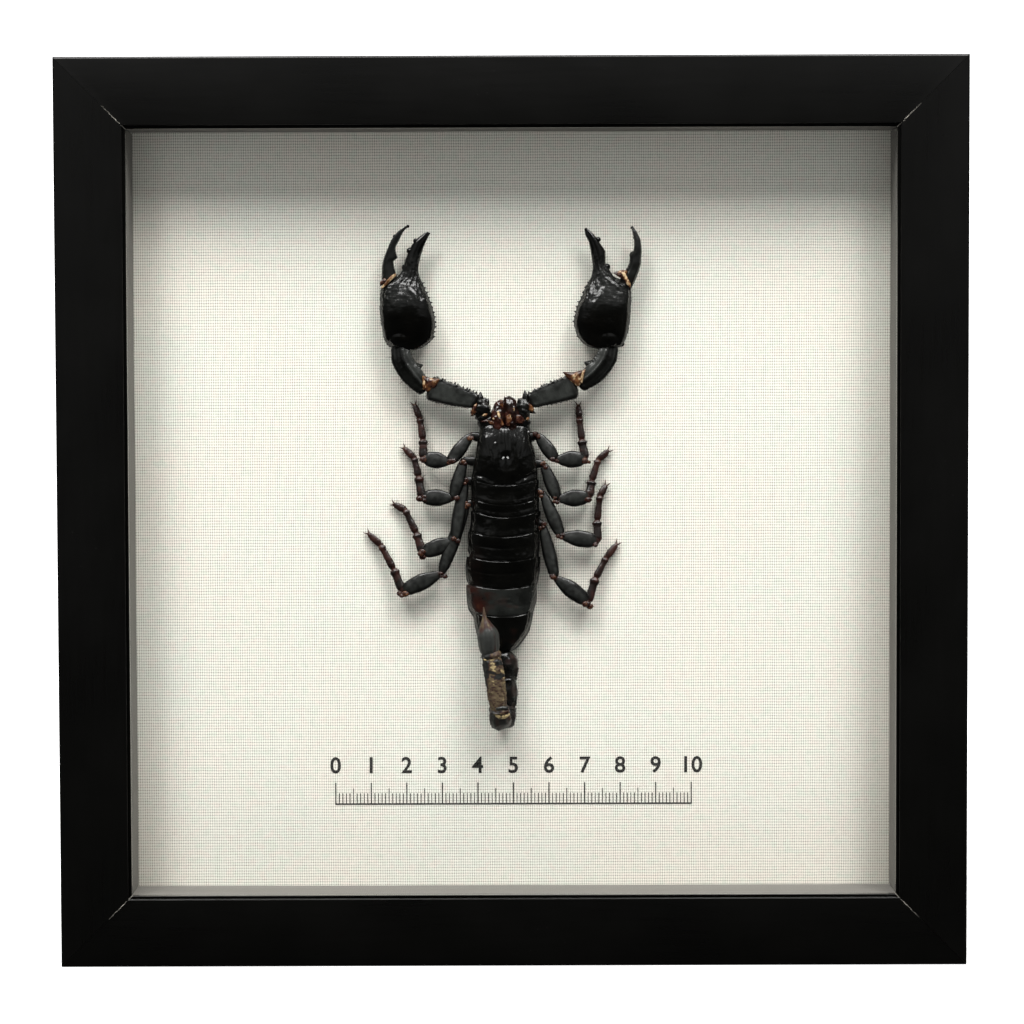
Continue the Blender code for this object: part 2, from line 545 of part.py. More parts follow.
def scorpion_body(parts, builders):
    """Trunk with the mouthparts, the arm sockets and the eight legs grown from it."""
    bm = bmesh.new()
    skin(bm, trunk_rings())
    body = object_from(bm, "scorpion_body", parts, "black_shell", smooth=True)
    for number, stations in enumerate(MOUTHPARTS):
        bm = bmesh.new()
        limb(bm, stations, ARM_SIDES)
        helper(bm, f"mouthpart_{number}", builders)
    for side, arm in ARMS.items():
        bm = bmesh.new()
        limb(bm, arm["coxa"], ARM_SIDES)
        helper(bm, f"{side}_arm_socket", builders)
    for leg, joints in LEGS.items():
        for number, (half_width, half_height) in enumerate(LEG_PIECES):
            start, end = joints[number], joints[number + 1]
            middle = [(a + b) / 2 for a, b in zip(start, end)]
            slim = (half_width * LEG_PIECE_END, half_height * LEG_PIECE_END)
            stations = ((*start, *slim), (*middle, half_width, half_height), (*end, *slim))
            bm = bmesh.new()
            limb(bm, stations, LEG_SIDES if number < 3 else FOOT_SIDES)
            helper(bm, f"leg_{leg}_{number}", builders)
    fuse(body, builders)


def edge_loft(bm, stations):
    """A claw piece from level sections: up, left edge, right edge, half thickness."""
    rings = []
    for up, left, right, half_thickness in stations:
        centre = spot((left + right) / 2, up, HAND_LIFT)
        rings.append(oval(centre, Vector((1.0, 0.0, 0.0)), Vector((0.0, -1.0, 0.0)),
                          (right - left) / 2, half_thickness, CLAW_SIDES))
    skin(bm, rings)


def along_line(ends, count):
    """Evenly spaced places between two ends, in the specimen's own millimetres."""
    start, end = Vector(ends[0]), Vector(ends[1])
    return [start.lerp(end, (step + 0.5) / count) for step in range(count)]


def scorpion_arm(side, arm, parts, group):
    """One arm with its claw: the hand with the fixed finger, the other finger, spur, spines and granules."""
    bm = bmesh.new()
    edge_loft(bm, arm["hand"])
    item = object_from(bm, f"scorpion_{side}_arm", parts, "black_shell", smooth=True)
    for piece in ("trochanter", "femur", "patella"):
        bm = bmesh.new()
        limb(bm, arm[piece], ARM_SIDES)
        helper(bm, f"{side}_{piece}", group)
    bm = bmesh.new()
    edge_loft(bm, arm["finger"])
    helper(bm, f"{side}_finger", group)
    for number, ends in enumerate((arm["spur"], *arm["shoulder_spikes"])):
        foot, tip = (spot(*place) for place in ends)
        bm = bmesh.new()
        spike(bm, foot, (tip - foot).normalized(), (tip - foot).length / MM, radius=SPUR_RADIUS)
        helper(bm, f"{side}_spur_{number}", group)
    for number, place in enumerate(along_line(arm["spine_line"], SPINES_PER_ARM)):
        bm = bmesh.new()
        spike(bm, spot(*place), Vector((0.0, -0.2, 1.0)).normalized(), SPINE_HEIGHT)
        helper(bm, f"{side}_spine_{number}", group)
    across, up = arm["granule_way"]
    for number, place in enumerate(along_line(arm["granule_line"], GRANULES_PER_HAND)):
        bm = bmesh.new()
        spike(bm, spot(*place), Vector((across, 0.0, up)), GRANULE_HEIGHT)
        helper(bm, f"{side}_granule_{number}", group)
    fuse(item, group)


def scorpion_tail(parts, group):
    """Tail of five pieces and the sting bulb, folded forward over itself."""
    bm = bmesh.new()
    limb(bm, TAIL[0], CLAW_SIDES, end_scale=TAIL_END)
    item = object_from(bm, "scorpion_tail", parts, "black_shell", smooth=True)
    for number, stations in enumerate(TAIL[1:], start=2):
        bm = bmesh.new()
        limb(bm, stations, CLAW_SIDES, end_scale=TAIL_END)
        helper(bm, f"tail_{number}", group)
    fuse(item, group)


def main():
    clear_scene()
    parts = new_collection("framed_scorpion")
    cutters = new_collection("frame_cutters")
    for name, degrees in (("frame_top", 0), ("frame_right", 90), ("frame_bottom", 180), ("frame_left", 270)):
        moulding(name, degrees, parts, cutters)
    flat_pieces(parts, cutters)
    linen_sheet(parts)
    back_tabs(parts)
    hanger(parts, cutters)
    scorpion_body(parts, new_collection("body_builders"))
    for side, arm in ARMS.items():
        scorpion_arm(side, arm, parts, new_collection(f"{side}_arm_builders"))
    scorpion_tail(parts, new_collection("tail_builders"))


main()
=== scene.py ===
"""Looks of a framed scorpion: box frame, glass, linen with a printed scale, and the dried specimen."""

from math import cos, pi, radians, sin, sqrt

import bpy
import numpy as np
from bpy.props import FloatProperty, FloatVectorProperty, PointerProperty
from mathutils import Matrix, Vector


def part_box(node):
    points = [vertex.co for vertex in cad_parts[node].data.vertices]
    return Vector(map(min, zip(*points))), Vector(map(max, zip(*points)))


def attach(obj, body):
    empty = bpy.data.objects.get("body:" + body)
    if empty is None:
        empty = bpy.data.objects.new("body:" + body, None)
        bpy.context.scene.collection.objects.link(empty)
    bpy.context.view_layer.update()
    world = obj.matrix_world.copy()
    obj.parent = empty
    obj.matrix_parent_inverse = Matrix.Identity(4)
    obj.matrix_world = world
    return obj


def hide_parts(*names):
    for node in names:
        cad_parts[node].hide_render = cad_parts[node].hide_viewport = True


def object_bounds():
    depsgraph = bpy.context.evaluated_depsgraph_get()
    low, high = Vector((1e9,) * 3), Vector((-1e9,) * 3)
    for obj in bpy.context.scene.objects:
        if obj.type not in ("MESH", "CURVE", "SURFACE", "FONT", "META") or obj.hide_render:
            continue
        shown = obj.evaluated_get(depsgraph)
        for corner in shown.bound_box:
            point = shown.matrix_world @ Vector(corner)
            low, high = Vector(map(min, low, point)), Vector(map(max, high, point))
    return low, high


bl_info = {
    "name": "Framed scorpion",
    "version": (1, 0, 0),
    "blender": (4, 5, 0),
    "location": "View3D > Sidebar > Framed scorpion",
    "description": "Builds the looks of a scorpion in a glazed box frame around its packed solids",
    "category": "Object",
}

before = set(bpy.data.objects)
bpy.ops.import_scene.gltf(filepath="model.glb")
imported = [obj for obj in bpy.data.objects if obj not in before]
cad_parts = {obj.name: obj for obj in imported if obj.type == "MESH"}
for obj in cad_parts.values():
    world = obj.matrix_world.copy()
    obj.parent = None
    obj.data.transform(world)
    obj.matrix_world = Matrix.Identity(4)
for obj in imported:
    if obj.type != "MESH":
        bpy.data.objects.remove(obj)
CAD_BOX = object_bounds()

MM = 0.001
BODY = "root"

# Places taken from the packed solids, in metres.
FRAME_LOW, FRAME_HIGH = CAD_BOX
HALF_SIDE = (FRAME_HIGH.x - FRAME_LOW.x) / 2
MIDDLE_Z = (FRAME_HIGH.z + FRAME_LOW.z) / 2
FRONT_Y, BACK_Y = FRAME_LOW.y, FRAME_HIGH.y
LINEN_LOW, LINEN_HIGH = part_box("linen")
LINEN_Y = LINEN_LOW.y
BOARD_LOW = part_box("mount_board")[0]


class Value:
    """A number socket of a node. Sums written with it add their Math nodes."""

    def __init__(self, finish, socket):
        self.finish = finish
        self.socket = socket

    def sum(self, operation, *terms):
        node = self.finish.add("ShaderNodeMath", {"operation": operation}, dict(enumerate(terms)))
        return Value(self.finish, node.outputs[0])

    def __add__(self, other):
        return self.sum("ADD", self, other)

    __radd__ = __add__

    def __mul__(self, other):
        return self.sum("MULTIPLY", self, other)

    def __sub__(self, other):
        return self.sum("SUBTRACT", self, other)

    def __rsub__(self, other):
        return self.sum("SUBTRACT", other, self)

    def __truediv__(self, other):
        return self.sum("DIVIDE", self, other)

    def __pow__(self, other):
        return self.sum("POWER", self, other)

    def __abs__(self):
        return self.sum("ABSOLUTE", self)

    def cosine(self):
        return self.sum("COSINE", self)

    def sign(self):
        return self.sum("SIGN", self)

    def rounded(self):
        return self.sum("ROUND", self)

    def larger(self, other):
        return self.sum("MAXIMUM", self, other)

    def smaller(self, other):
        return self.sum("MINIMUM", self, other)

    def rising(self, low, high):
        """0 below low, 1 above high, with a smooth rise between; it falls where high is below low."""
        node = self.finish.add(
            "ShaderNodeMapRange",
            {"interpolation_type": "SMOOTHSTEP"},
            {"Value": self, "From Min": low, "From Max": high},
        )
        return Value(self.finish, node.outputs["Result"])


class Finish:
    """A material, or the world, and the nodes that make it."""

    def __init__(self, name, owner=None):
        self.owner = owner or bpy.data.materials.new(name)
        self.owner.use_nodes = True
        self.tree = self.owner.node_tree
        self.tree.nodes.clear()

    def add(self, kind, settings=None, values=None):
        """Add a node: its settings first, then the values or links of its sockets."""
        node = self.tree.nodes.new(kind)
        for name, setting in (settings or {}).items():
            setattr(node, name, setting)
        for name, value in (values or {}).items():
            self.feed(node.inputs[name], value)
        return node

    def feed(self, socket, value):
        if isinstance(value, Value):
            value = value.socket
        if isinstance(value, bpy.types.NodeSocket):
            self.tree.links.new(value, socket)
        elif socket.type == "RGBA" and len(value) == 3:
            socket.default_value = (*value, 1.0)
        else:
            socket.default_value = value

    def mark(self, name):
        """A mark stored on the mesh: its colour, its vector and its number."""
        node = self.add("ShaderNodeAttribute", {"attribute_name": name})
        return node.outputs["Color"], node.outputs["Vector"], Value(self, node.outputs["Fac"])

    def parts(self, vector):
        """The three numbers of a vector."""
        node = self.add("ShaderNodeSeparateXYZ", {}, {"Vector": vector})
        return [Value(self, output) for output in node.outputs]

    def place(self, x, y, z=0.0):
        """A vector from three numbers."""
        return self.add("ShaderNodeCombineXYZ", {}, {"X": x, "Y": y, "Z": z}).outputs[0]

    def stretched(self, vector, scale):
        settings = {"operation": "MULTIPLY"}
        return self.add("ShaderNodeVectorMath", settings, {0: vector, 1: scale}).outputs[0]

    def object_place(self):
        return self.add("ShaderNodeTexCoord").outputs["Object"]

    def noise(self, vector, scale, detail=2.0, roughness=0.5):
        """Soft noise between about 0 and 1."""
        node = self.add("ShaderNodeTexNoise", {}, {
            "Vector": vector, "Scale": scale, "Detail": detail, "Roughness": roughness,
        })
        return Value(self, node.outputs[0])

    def cells(self, vector, scale):
        """Distance to the nearest of many scattered points."""
        node = self.add("ShaderNodeTexVoronoi", {}, {"Vector": vector, "Scale": scale})
        return Value(self, node.outputs["Distance"])

    def blend(self, share, one, two):
        """A colour between two colours."""
        return self.add("ShaderNodeMix", {"data_type": "RGBA"}, {0: share, 6: one, 7: two}).outputs[2]

    def grey(self, value):
        """A number as a colour."""
        values = {"Red": value, "Green": value, "Blue": value}
        return self.add("ShaderNodeCombineColor", {}, values).outputs[0]

    def bump(self, height, distance, strength):
        values = {"Height": height, "Distance": distance, "Strength": strength}
        return self.add("ShaderNodeBump", {}, values).outputs[0]

    def principled(self, values):
        """Close the material with a Principled shader and give the material back."""
        shader = self.add("ShaderNodeBsdfPrincipled", {}, values)
        self.add("ShaderNodeOutputMaterial", {}, {"Surface": shader.outputs[0]})
        return self.owner


class Skin:
    """Collects the points, faces and marks of one piece, in metres."""

    def __init__(self):
        self.points = []
        self.faces = []
        self.marks = {}
        self.count = 0

    def add_points(self, points, marks):
        points = np.asarray(points, float).reshape(-1, 3)
        start = self.count
        self.points.append(points)
        self.count += len(points)
        for name, values in marks.items():
            values = np.asarray(values, float)
            width = values.shape[-1] if values.ndim > 0 and values.shape[-1:] == (3,) else 1
            values = np.broadcast_to(values.reshape(-1, width), (len(points), width))
            self.marks.setdefault(name, []).append((start, values))
        return start

    def add_grid(self, grid, closed=True, capped=True, **marks):
        """A net of points in rows and columns; a closed one joins its last column to its first."""
        rows, columns = grid.shape[:2]
        start = self.add_points(grid, marks)
        row, column = np.mgrid[0:rows - 1, 0:columns if closed else columns - 1]
        across = (column + 1) % columns
        corners = (row * columns + column, (row + 1) * columns + column,
                   (row + 1) * columns + across, row * columns + across)
        self.faces += (np.stack(corners, -1).reshape(-1, 4) + start).tolist()
        if closed and capped:
            self.faces.append([start + index for index in range(columns)])
            self.faces.append([start + (rows - 1) * columns + index for index in reversed(range(columns))])
        return start

    def build(self, name, finish, slot, replaces=(), sharp=180.0):
        """Make the piece, let it ride on the frame and hide the solids it stands for."""
        mesh = bpy.data.meshes.new(name)
        mesh.from_pydata(np.concatenate(self.points).tolist(), [], self.faces)
        for mark, pieces in self.marks.items():
            width = max(values.shape[1] for start, values in pieces)
            stored = np.zeros((self.count, width), np.float32)
            for start, values in pieces:
                stored[start:start + len(values)] = values
            kind, field = ("FLOAT_VECTOR", "vector") if width == 3 else ("FLOAT", "value")
            mesh.attributes.new(mark, kind, "POINT").data.foreach_set(field, stored.ravel())
        mesh.materials.append(finish)
        mesh.shade_smooth()
        if sharp < 180.0:
            mesh.set_sharp_from_angle(angle=radians(sharp))
        piece = bpy.data.objects.new(name, mesh)
        bpy.context.scene.collection.objects.link(piece)
        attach(piece, BODY)
        if replaces:
            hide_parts(*replaces)
        return piece


def rounded_outline(corners, steps=6):
    """A closed outline of (x, y, radius) corners with each corner rounded."""
    outline = []
    count = len(corners)
    for index, (x, y, radius) in enumerate(corners):
        here = Vector((x, y))
        before = (Vector(corners[index - 1][:2]) - here).normalized()
        after = (Vector(corners[(index + 1) % count][:2]) - here).normalized()
        if radius <= 0:
            outline.append((here.x, here.y))
            continue
        start, end = here + before * radius, here + after * radius
        for step in range(steps + 1):
            share = step / steps
            spot = start * (1 - share) ** 2 + here * 2 * share * (1 - share) + end * share ** 2
            outline.append((spot.x, spot.y))
    return outline


class FrameSizes(bpy.types.PropertyGroup):
    """The mouldings' section and finish."""

    face_width: FloatProperty(
        name="Face width", description="Width of a moulding's flat face", default=0.0187, unit="LENGTH")
    step: FloatProperty(
        name="Sight step", description="Width and depth of the small step at the opening", default=0.0009,
        unit="LENGTH")
    lip: FloatProperty(
        name="Lip thickness", description="Thickness of the lip in front of the glass", default=0.003,
        unit="LENGTH")
    wall: FloatProperty(
        name="Wall thickness", description="Thickness of the moulding behind the lip", default=0.013,
        unit="LENGTH")
    arris: FloatProperty(
        name="Arris", description="Rounding of the front's outer edge", default=0.0008, unit="LENGTH")
    mitre_gap: FloatProperty(
        name="Mitre gap", description="Open joint between two mouldings", default=0.00006, unit="LENGTH")
    lacquer: FloatVectorProperty(
        name="Lacquer", description="Colour of the black lacquer", default=(0.0010, 0.0010, 0.0008),
        subtype="COLOR", size=3)
    bare_wood: FloatVectorProperty(
        name="Bare wood", description="Colour where the lacquer is chipped along the mitres",
        default=(0.55, 0.52, 0.46), subtype="COLOR", size=3)


class LinenSizes(bpy.types.PropertyGroup):
    """The weave of the backing and the scale printed on it."""

    cross_pitch: FloatProperty(
        name="Cross threads", description="Distance between threads that run across", default=0.00079,
        unit="LENGTH", precision=5)
    upright_pitch: FloatProperty(
        name="Upright threads", description="Distance between upright threads", default=0.00063,
        unit="LENGTH", precision=5)
    thread: FloatVectorProperty(
        name="Thread", description="Colour of the threads", default=(0.93, 0.91, 0.825),
        subtype="COLOR", size=3)
    # Painted shade: the dark gap colour stands for shade deep between the threads.
    gap: FloatVectorProperty(
        name="Gap", description="Colour deep between the threads", default=(0.17, 0.155, 0.115),
        subtype="COLOR", size=3)
    lining: FloatVectorProperty(
        name="Lining", description="Colour of the spacer strips", default=(0.145, 0.138, 0.125),
        subtype="COLOR", size=3)
    margin: FloatProperty(
        name="Turned margin", description="Width of the cloth turned onto the board's back", default=0.020,
        unit="LENGTH")
    flat_side: FloatProperty(
        name="Flat side", description="Side of the cloth before it was stretched", default=0.2746,
        unit="LENGTH")
    figure_height: FloatProperty(
        name="Figure height", description="Height of the scale's figures", default=0.0046, unit="LENGTH")
    ink: FloatVectorProperty(
        name="Ink", description="Colour of the printed scale", default=(0.012, 0.012, 0.011),
        subtype="COLOR", size=3)


def frame_sizes():
    return bpy.context.scene.box_frame


def linen_sizes():
    return bpy.context.scene.box_linen


def lacquer_finish():
    """Black satin lacquer with faint grain along the rail, pale wood at the mitres and a few specks."""
    sizes = frame_sizes()
    finish = Finish("black_lacquer")
    place = finish.mark("rail")[1]
    along, inward, depth = finish.parts(place)
    wander = finish.noise(finish.stretched(place, (60.0, 900.0, 900.0)), 1.0, detail=3.0)
    pores = finish.noise(finish.stretched(place, (240.0, 5200.0, 5200.0)), 1.0, detail=2.0)
    handled = finish.noise(place, 38.0, detail=4.0)
    flecks = finish.cells(place, 420.0)
    off_mitre = HALF_SIDE - inward - abs(along)
    broken = finish.noise(place, 700.0, detail=1.0)
    near_step = (inward - (sizes.face_width - 0.0065)).rising(0.0, 0.0050)
    split = (off_mitre + (broken - 0.5) * 0.0002).rising(0.00020, 0.00005)
    bare = split * near_step * broken.rising(0.34, 0.52)
    speck = flecks.rising(0.045, 0.02) * handled.rising(0.52, 0.60)
    colour = finish.blend(handled.rising(0.3, 0.8) * 0.6, sizes.lacquer, (0.0018, 0.0017, 0.0014))
    colour = finish.blend(bare * 0.9, colour, sizes.bare_wood)
    colour = finish.blend(speck * 0.10, colour, (0.4, 0.4, 0.38))
    inner = inward.rising(sizes.face_width + 0.0002, sizes.face_width + 0.0008)
    inner = inner.larger(depth.rising(FRONT_Y + 0.0007, FRONT_Y + 0.0010) * inward.rising(0.010, 0.012))
    rough = (0.22 + handled * 0.08 + wander * 0.05) * (1 - inner) + inner * 0.14
    height = wander * 0.6 + pores * 0.25
    return finish.principled({
        "Base Color": colour,
        "Roughness": rough,
        "Specular IOR Level": 0.42,
        "Normal": finish.bump(height, 0.00003, 0.35),
    })


def weave(finish, place):
    """A plain weave's height, tone, fine fibre and gaps over a place given in metres along the cloth."""
    sizes = linen_sizes()
    sway = finish.noise(place, 130.0, detail=2.0) - 0.5
    across, up = finish.parts(place)[:2]
    column = (across + sway * 0.00022) / sizes.upright_pitch
    row = (up + sway * 0.00022) / sizes.cross_pitch
    cross_thread = finish.place(across * 55.0, row.rounded() * 7.3, 0.0)
    upright_thread = finish.place(column.rounded() * 5.9, up * 70.0, 3.0)
    slub_across = finish.noise(cross_thread, 1.0, detail=2.0)
    slub_upright = finish.noise(upright_thread, 1.0, detail=2.0)
    swing_across, swing_up = (column * pi).cosine(), (row * pi).cosine()
    over_across = 0.5 + swing_across * swing_up.sign() * 0.5
    over_upright = 0.5 - swing_up * swing_across.sign() * 0.5
    knot = finish.noise(finish.place(column.rounded() * 3.7, row.rounded() * 3.1, 5.0), 1.0, detail=0.0)
    cross_height = abs(swing_up) ** 0.8 * (0.48 + over_across * 0.52) * (0.55 + slub_across * 0.9)
    upright_height = abs(swing_across) ** 0.8 * (0.30 + over_upright * 0.62) * (0.50 + slub_upright * 0.9)
    height = cross_height.larger(upright_height) * (0.62 + knot * 0.7)
    fibre = finish.noise(finish.stretched(place, (3000.0, 8000.0, 3000.0)), 1.0, detail=3.0)
    tone = slub_across * 0.6 + slub_upright * 0.4
    between_rows = (1 - abs(swing_up)).rising(0.36, 0.98) * (1.25 - slub_across * 0.55)
    between_columns = (1 - abs(swing_across)).rising(0.30, 0.95) * (1.35 - slub_upright * 0.8)
    hole = between_rows * between_columns
    gaps = between_rows * (0.28 + knot * 0.27) + between_columns * (0.25 + knot * 0.42)
    gaps = gaps + hole * (0.20 + knot * 1.1)
    return {"height": height, "tone": tone, "fibre": fibre, "gaps": gaps}


def linen_colour(finish, place, cloth):
    """Cream threads over gaps painted dark as shade, with slow warm and cool drift, and painted shade beside
    the side walls and towards the bottom.
    """
    sizes = linen_sizes()
    drift = finish.noise(place, 26.0, detail=2.0)
    warm = finish.blend(drift.rising(0.35, 0.65), (0.86, 0.875, 0.80), (0.93, 0.87, 0.785))
    share = (cloth["tone"] * 0.8 + cloth["fibre"] * 0.4).rising(0.35, 0.85)
    thread = finish.blend(share, sizes.thread, warm)
    spots = finish.noise(finish.stretched(place, (330.0, 420.0, 330.0)), 1.0, detail=2.0)
    thread = finish.blend(spots.rising(0.52, 0.66) * 0.6, thread, (0.93, 0.85, 0.78))
    thread = finish.blend(spots.rising(0.48, 0.34) * 0.6, thread, (0.83, 0.87, 0.77))
    across, up = finish.parts(place)[:2]
    # Painted shade: the cloth darkens beside the side walls and towards the bottom, where the frame shades
    # it.
    side_wall_shade = abs(across).rising(0.093, 0.107)
    bottom_shade = (0.0 - up).rising(0.055, 0.106)
    painted_wall_shade = side_wall_shade * 0.23 + bottom_shade * 0.10 + side_wall_shade * bottom_shade * 0.12
    thread = finish.blend(painted_wall_shade, thread, (0.25, 0.235, 0.19))
    # Painted shade in the weave's gaps.
    return finish.blend(cloth["gaps"].smaller(0.95), thread, sizes.gap)


def linen_finish():
    """Plain-woven linen."""
    finish = Finish("cream_linen")
    place = finish.mark("cloth")[1]
    cloth = weave(finish, place)
    return finish.principled({
        "Base Color": linen_colour(finish, place, cloth),
        "Roughness": 0.92,
        "Specular IOR Level": 0.2,
        "Sheen Weight": 0.05,
        "Normal": finish.bump(cloth["height"] + cloth["fibre"] * 0.12, 0.00008, 0.65),
    })


def lining_finish():
    """Close-woven grey lining of the spacer strips, drawn out in streaks along the strip."""
    finish = Finish("spacer_lining")
    place = finish.mark("cloth")[1]
    cloth = weave(finish, place)
    streak = finish.noise(finish.stretched(place, (14.0, 2600.0, 2600.0)), 1.0, detail=2.0)
    # Painted shade in the lining's weave gaps.
    colour = finish.blend(cloth["gaps"] * 0.35, linen_sizes().lining, (0.06, 0.058, 0.052))
    colour = finish.blend(streak.rising(0.35, 0.7) * 0.5, colour, (0.21, 0.20, 0.185))
    return finish.principled({
        "Base Color": colour,
        "Roughness": 0.75,
        "Normal": finish.bump(cloth["height"] * 0.4 + streak, 0.00008, 0.5),
    })


def ink_finish():
    """Black ink in the weave; a little of the thread shows where the cloth dips."""
    finish = Finish("scale_ink")
    place = finish.mark("cloth")[1]
    cloth = weave(finish, place)
    colour = finish.blend(cloth["gaps"].smaller(1.0) * 0.25, linen_sizes().ink, (0.20, 0.19, 0.17))
    colour = finish.blend(cloth["fibre"].rising(0.60, 0.80) * 0.30, colour, (0.12, 0.115, 0.105))
    return finish.principled({
        "Base Color": colour,
        "Roughness": 0.8,
        "Normal": finish.bump(cloth["height"] + cloth["fibre"] * 0.12, 0.00012, 0.9),
    })


def glass_finish():
    """Clear float glass, faintly green."""
    finish = Finish("clear_glass")
    return finish.principled({
        "Base Color": (0.985, 0.995, 0.99),
        "Roughness": 0.0,
        "IOR": 1.5,
        "Transmission Weight": 1.0,
        "Specular IOR Level": 0.5,
    })


def board_finish():
    """White board with a faint fleck."""
    finish = Finish("white_board")
    place = finish.object_place()
    fleck = finish.noise(place, 900.0, detail=3.0)
    colour = finish.blend(fleck.rising(0.5, 0.8) * 0.5, (0.84, 0.84, 0.81), (0.72, 0.71, 0.67))
    return finish.principled({
        "Base Color": colour,
        "Roughness": 0.85,
        "Normal": finish.bump(fleck, 0.00005, 0.4),
    })


def fibreboard_finish():
    """Pressed brown fibreboard: short matted fibres, darker flecks and a few rubbed patches."""
    finish = Finish("brown_fibreboard")
    place = finish.object_place()
    mat = finish.noise(finish.stretched(place, (900.0, 900.0, 420.0)), 1.0, detail=4.0, roughness=0.65)
    fibre = finish.noise(finish.stretched(place, (300.0, 3000.0, 2400.0)), 1.0, detail=3.0)
    cloud = finish.noise(place, 16.0, detail=3.0)
    fleck = finish.cells(finish.stretched(place, (1.0, 1.0, 0.35)), 620.0).rising(0.16, 0.07)
    colour = finish.blend(cloud.rising(0.3, 0.7), (0.165, 0.098, 0.052), (0.215, 0.135, 0.075))
    colour = finish.blend(mat.rising(0.35, 0.75) * 0.55, colour, (0.30, 0.205, 0.125))
    colour = finish.blend(fleck * 0.55, colour, (0.060, 0.034, 0.018))
    return finish.principled({
        "Base Color": colour,
        "Roughness": 0.62 + mat * 0.25,
        "Normal": finish.bump(mat + fibre * 0.5, 0.00012, 0.55),
    })


def steel_finish():
    """Zinc-plated steel with rolling marks and dull spots."""
    finish = Finish("plated_steel")
    place = finish.object_place()
    rolled = finish.noise(finish.stretched(place, (300.0, 6000.0, 9000.0)), 1.0, detail=3.0)
    dull = finish.noise(place, 260.0, detail=3.0)
    colour = finish.blend(dull.rising(0.4, 0.7), (0.56, 0.55, 0.53), (0.40, 0.385, 0.35))
    return finish.principled({
        "Base Color": colour,
        "Metallic": 1.0,
        "Roughness": 0.28 + dull * 0.25 + rolled * 0.08,
        "Normal": finish.bump(rolled, 0.00002, 0.4),
    })


def moulding_outline():
    """Section of a moulding, with rounded arrises: distance in from the outer edge, depth from the front."""
    sizes = frame_sizes()
    depth = BACK_Y - FRONT_Y
    lip_width = sizes.face_width + sizes.step
    fine = 0.00018
    return rounded_outline([
        (0.0, 0.0, sizes.arris),
        (sizes.face_width, 0.0, fine),
        (sizes.face_width, sizes.step, fine * 0.6),
        (lip_width, sizes.step, fine),
        (lip_width, sizes.lip, fine),
        (sizes.wall, sizes.lip, fine),
        (sizes.wall, depth, fine * 2),
        (0.0, depth, fine * 3),
    ])


def build_moulding(name, degrees, finish):
    """One mitred rail, made as the top one and turned about the frame's middle."""
    gap = frame_sizes().mitre_gap / sqrt(2)
    outline = moulding_outline()
    centre = Matrix.Translation((0.0, 0.0, MIDDLE_Z))
    turn = centre @ Matrix.Rotation(radians(degrees), 4, "Y") @ centre.inverted()
    shares = np.concatenate([
        np.linspace(1.0, 0.9, 5), np.linspace(0.85, -0.85, 9), np.linspace(-0.9, -1.0, 5),
    ])
    grid = np.zeros((len(shares), len(outline), 3))
    rail = np.zeros_like(grid)
    for column, (inward, depth) in enumerate(outline):
        reach = HALF_SIDE - inward - gap
        for row, share in enumerate(shares):
            place = Vector((share * reach, FRONT_Y + depth, MIDDLE_Z + HALF_SIDE - inward))
            grid[row, column] = turn @ place
            rail[row, column] = (share * reach, inward, FRONT_Y + depth)
    skin = Skin()
    skin.add_grid(grid, rail=rail)
    return skin.build(name + "_rail", finish, "moulding", [name], sharp=30)


def rounded_square(half, radius, steps, depth):
    """Points round a square with rounded corners, starting on its right side and going up."""
    points = []
    for quarter in range(4):
        start = quarter * pi / 2
        for step in range(steps + 1):
            turn = start + step / steps * pi / 2
            corner = Vector((cos(start + pi / 4), sin(start + pi / 4))) * sqrt(2) * (half - radius)
            points.append((corner.x + cos(turn) * radius, depth, MIDDLE_Z + corner.y + sin(turn) * radius))
    return points


def turned_path(half, front, back, soft, margin):
    """The cloth's way from the front over an edge to its margin, as reach from the middle and depth."""
    turns = np.linspace(0, pi / 2, 6)
    path = [(half * share, front) for share in (0.25, 0.5, 0.75, 0.9, 0.97)]
    path += [(half - soft * (1 - sin(turn)), front + soft * (1 - cos(turn))) for turn in turns]
    path += [(half, (front + back) / 2)]
    path += [(half - soft * (1 - cos(turn)), back - soft * (1 - sin(turn))) for turn in turns]
    return path + [(half - margin * share, back) for share in (0.4, 0.7, 1.0)]


def build_linen(finish):
    """The stretched cloth: a flat front, soft turns over the board's edges and a margin on its back."""
    margin = linen_sizes().margin
    half = (LINEN_HIGH.x - LINEN_LOW.x) / 2
    front, back = LINEN_LOW.y, LINEN_HIGH.y
    soft, clearance = 0.0012, 0.0003
    thickness = BOARD_LOW.y - front - clearance
    outer = turned_path(half, front, back, soft, margin)
    inner = turned_path(
        half - thickness, front + thickness, back - thickness, soft - thickness, margin - thickness)
    lengths = np.cumsum([outer[0][0]] + [np.hypot(*step) for step in np.diff(np.array(outer), axis=0)])
    rows, cloth = [], []
    for path in (list(zip(outer, lengths)), list(zip(inner, lengths))[::-1]):
        for (reach, depth), length in path:
            ring = rounded_square(reach, 0.0004, 2, depth)
            rows.append(ring)
            cloth.append([(x * length / reach, (z - MIDDLE_Z) * length / reach, 0.0) for x, y, z in ring])
    skin = Skin()
    skin.add_grid(np.array(rows), cloth=np.array(cloth))
    return skin.build("linen_cloth", finish, "linen", ["linen"], sharp=60)


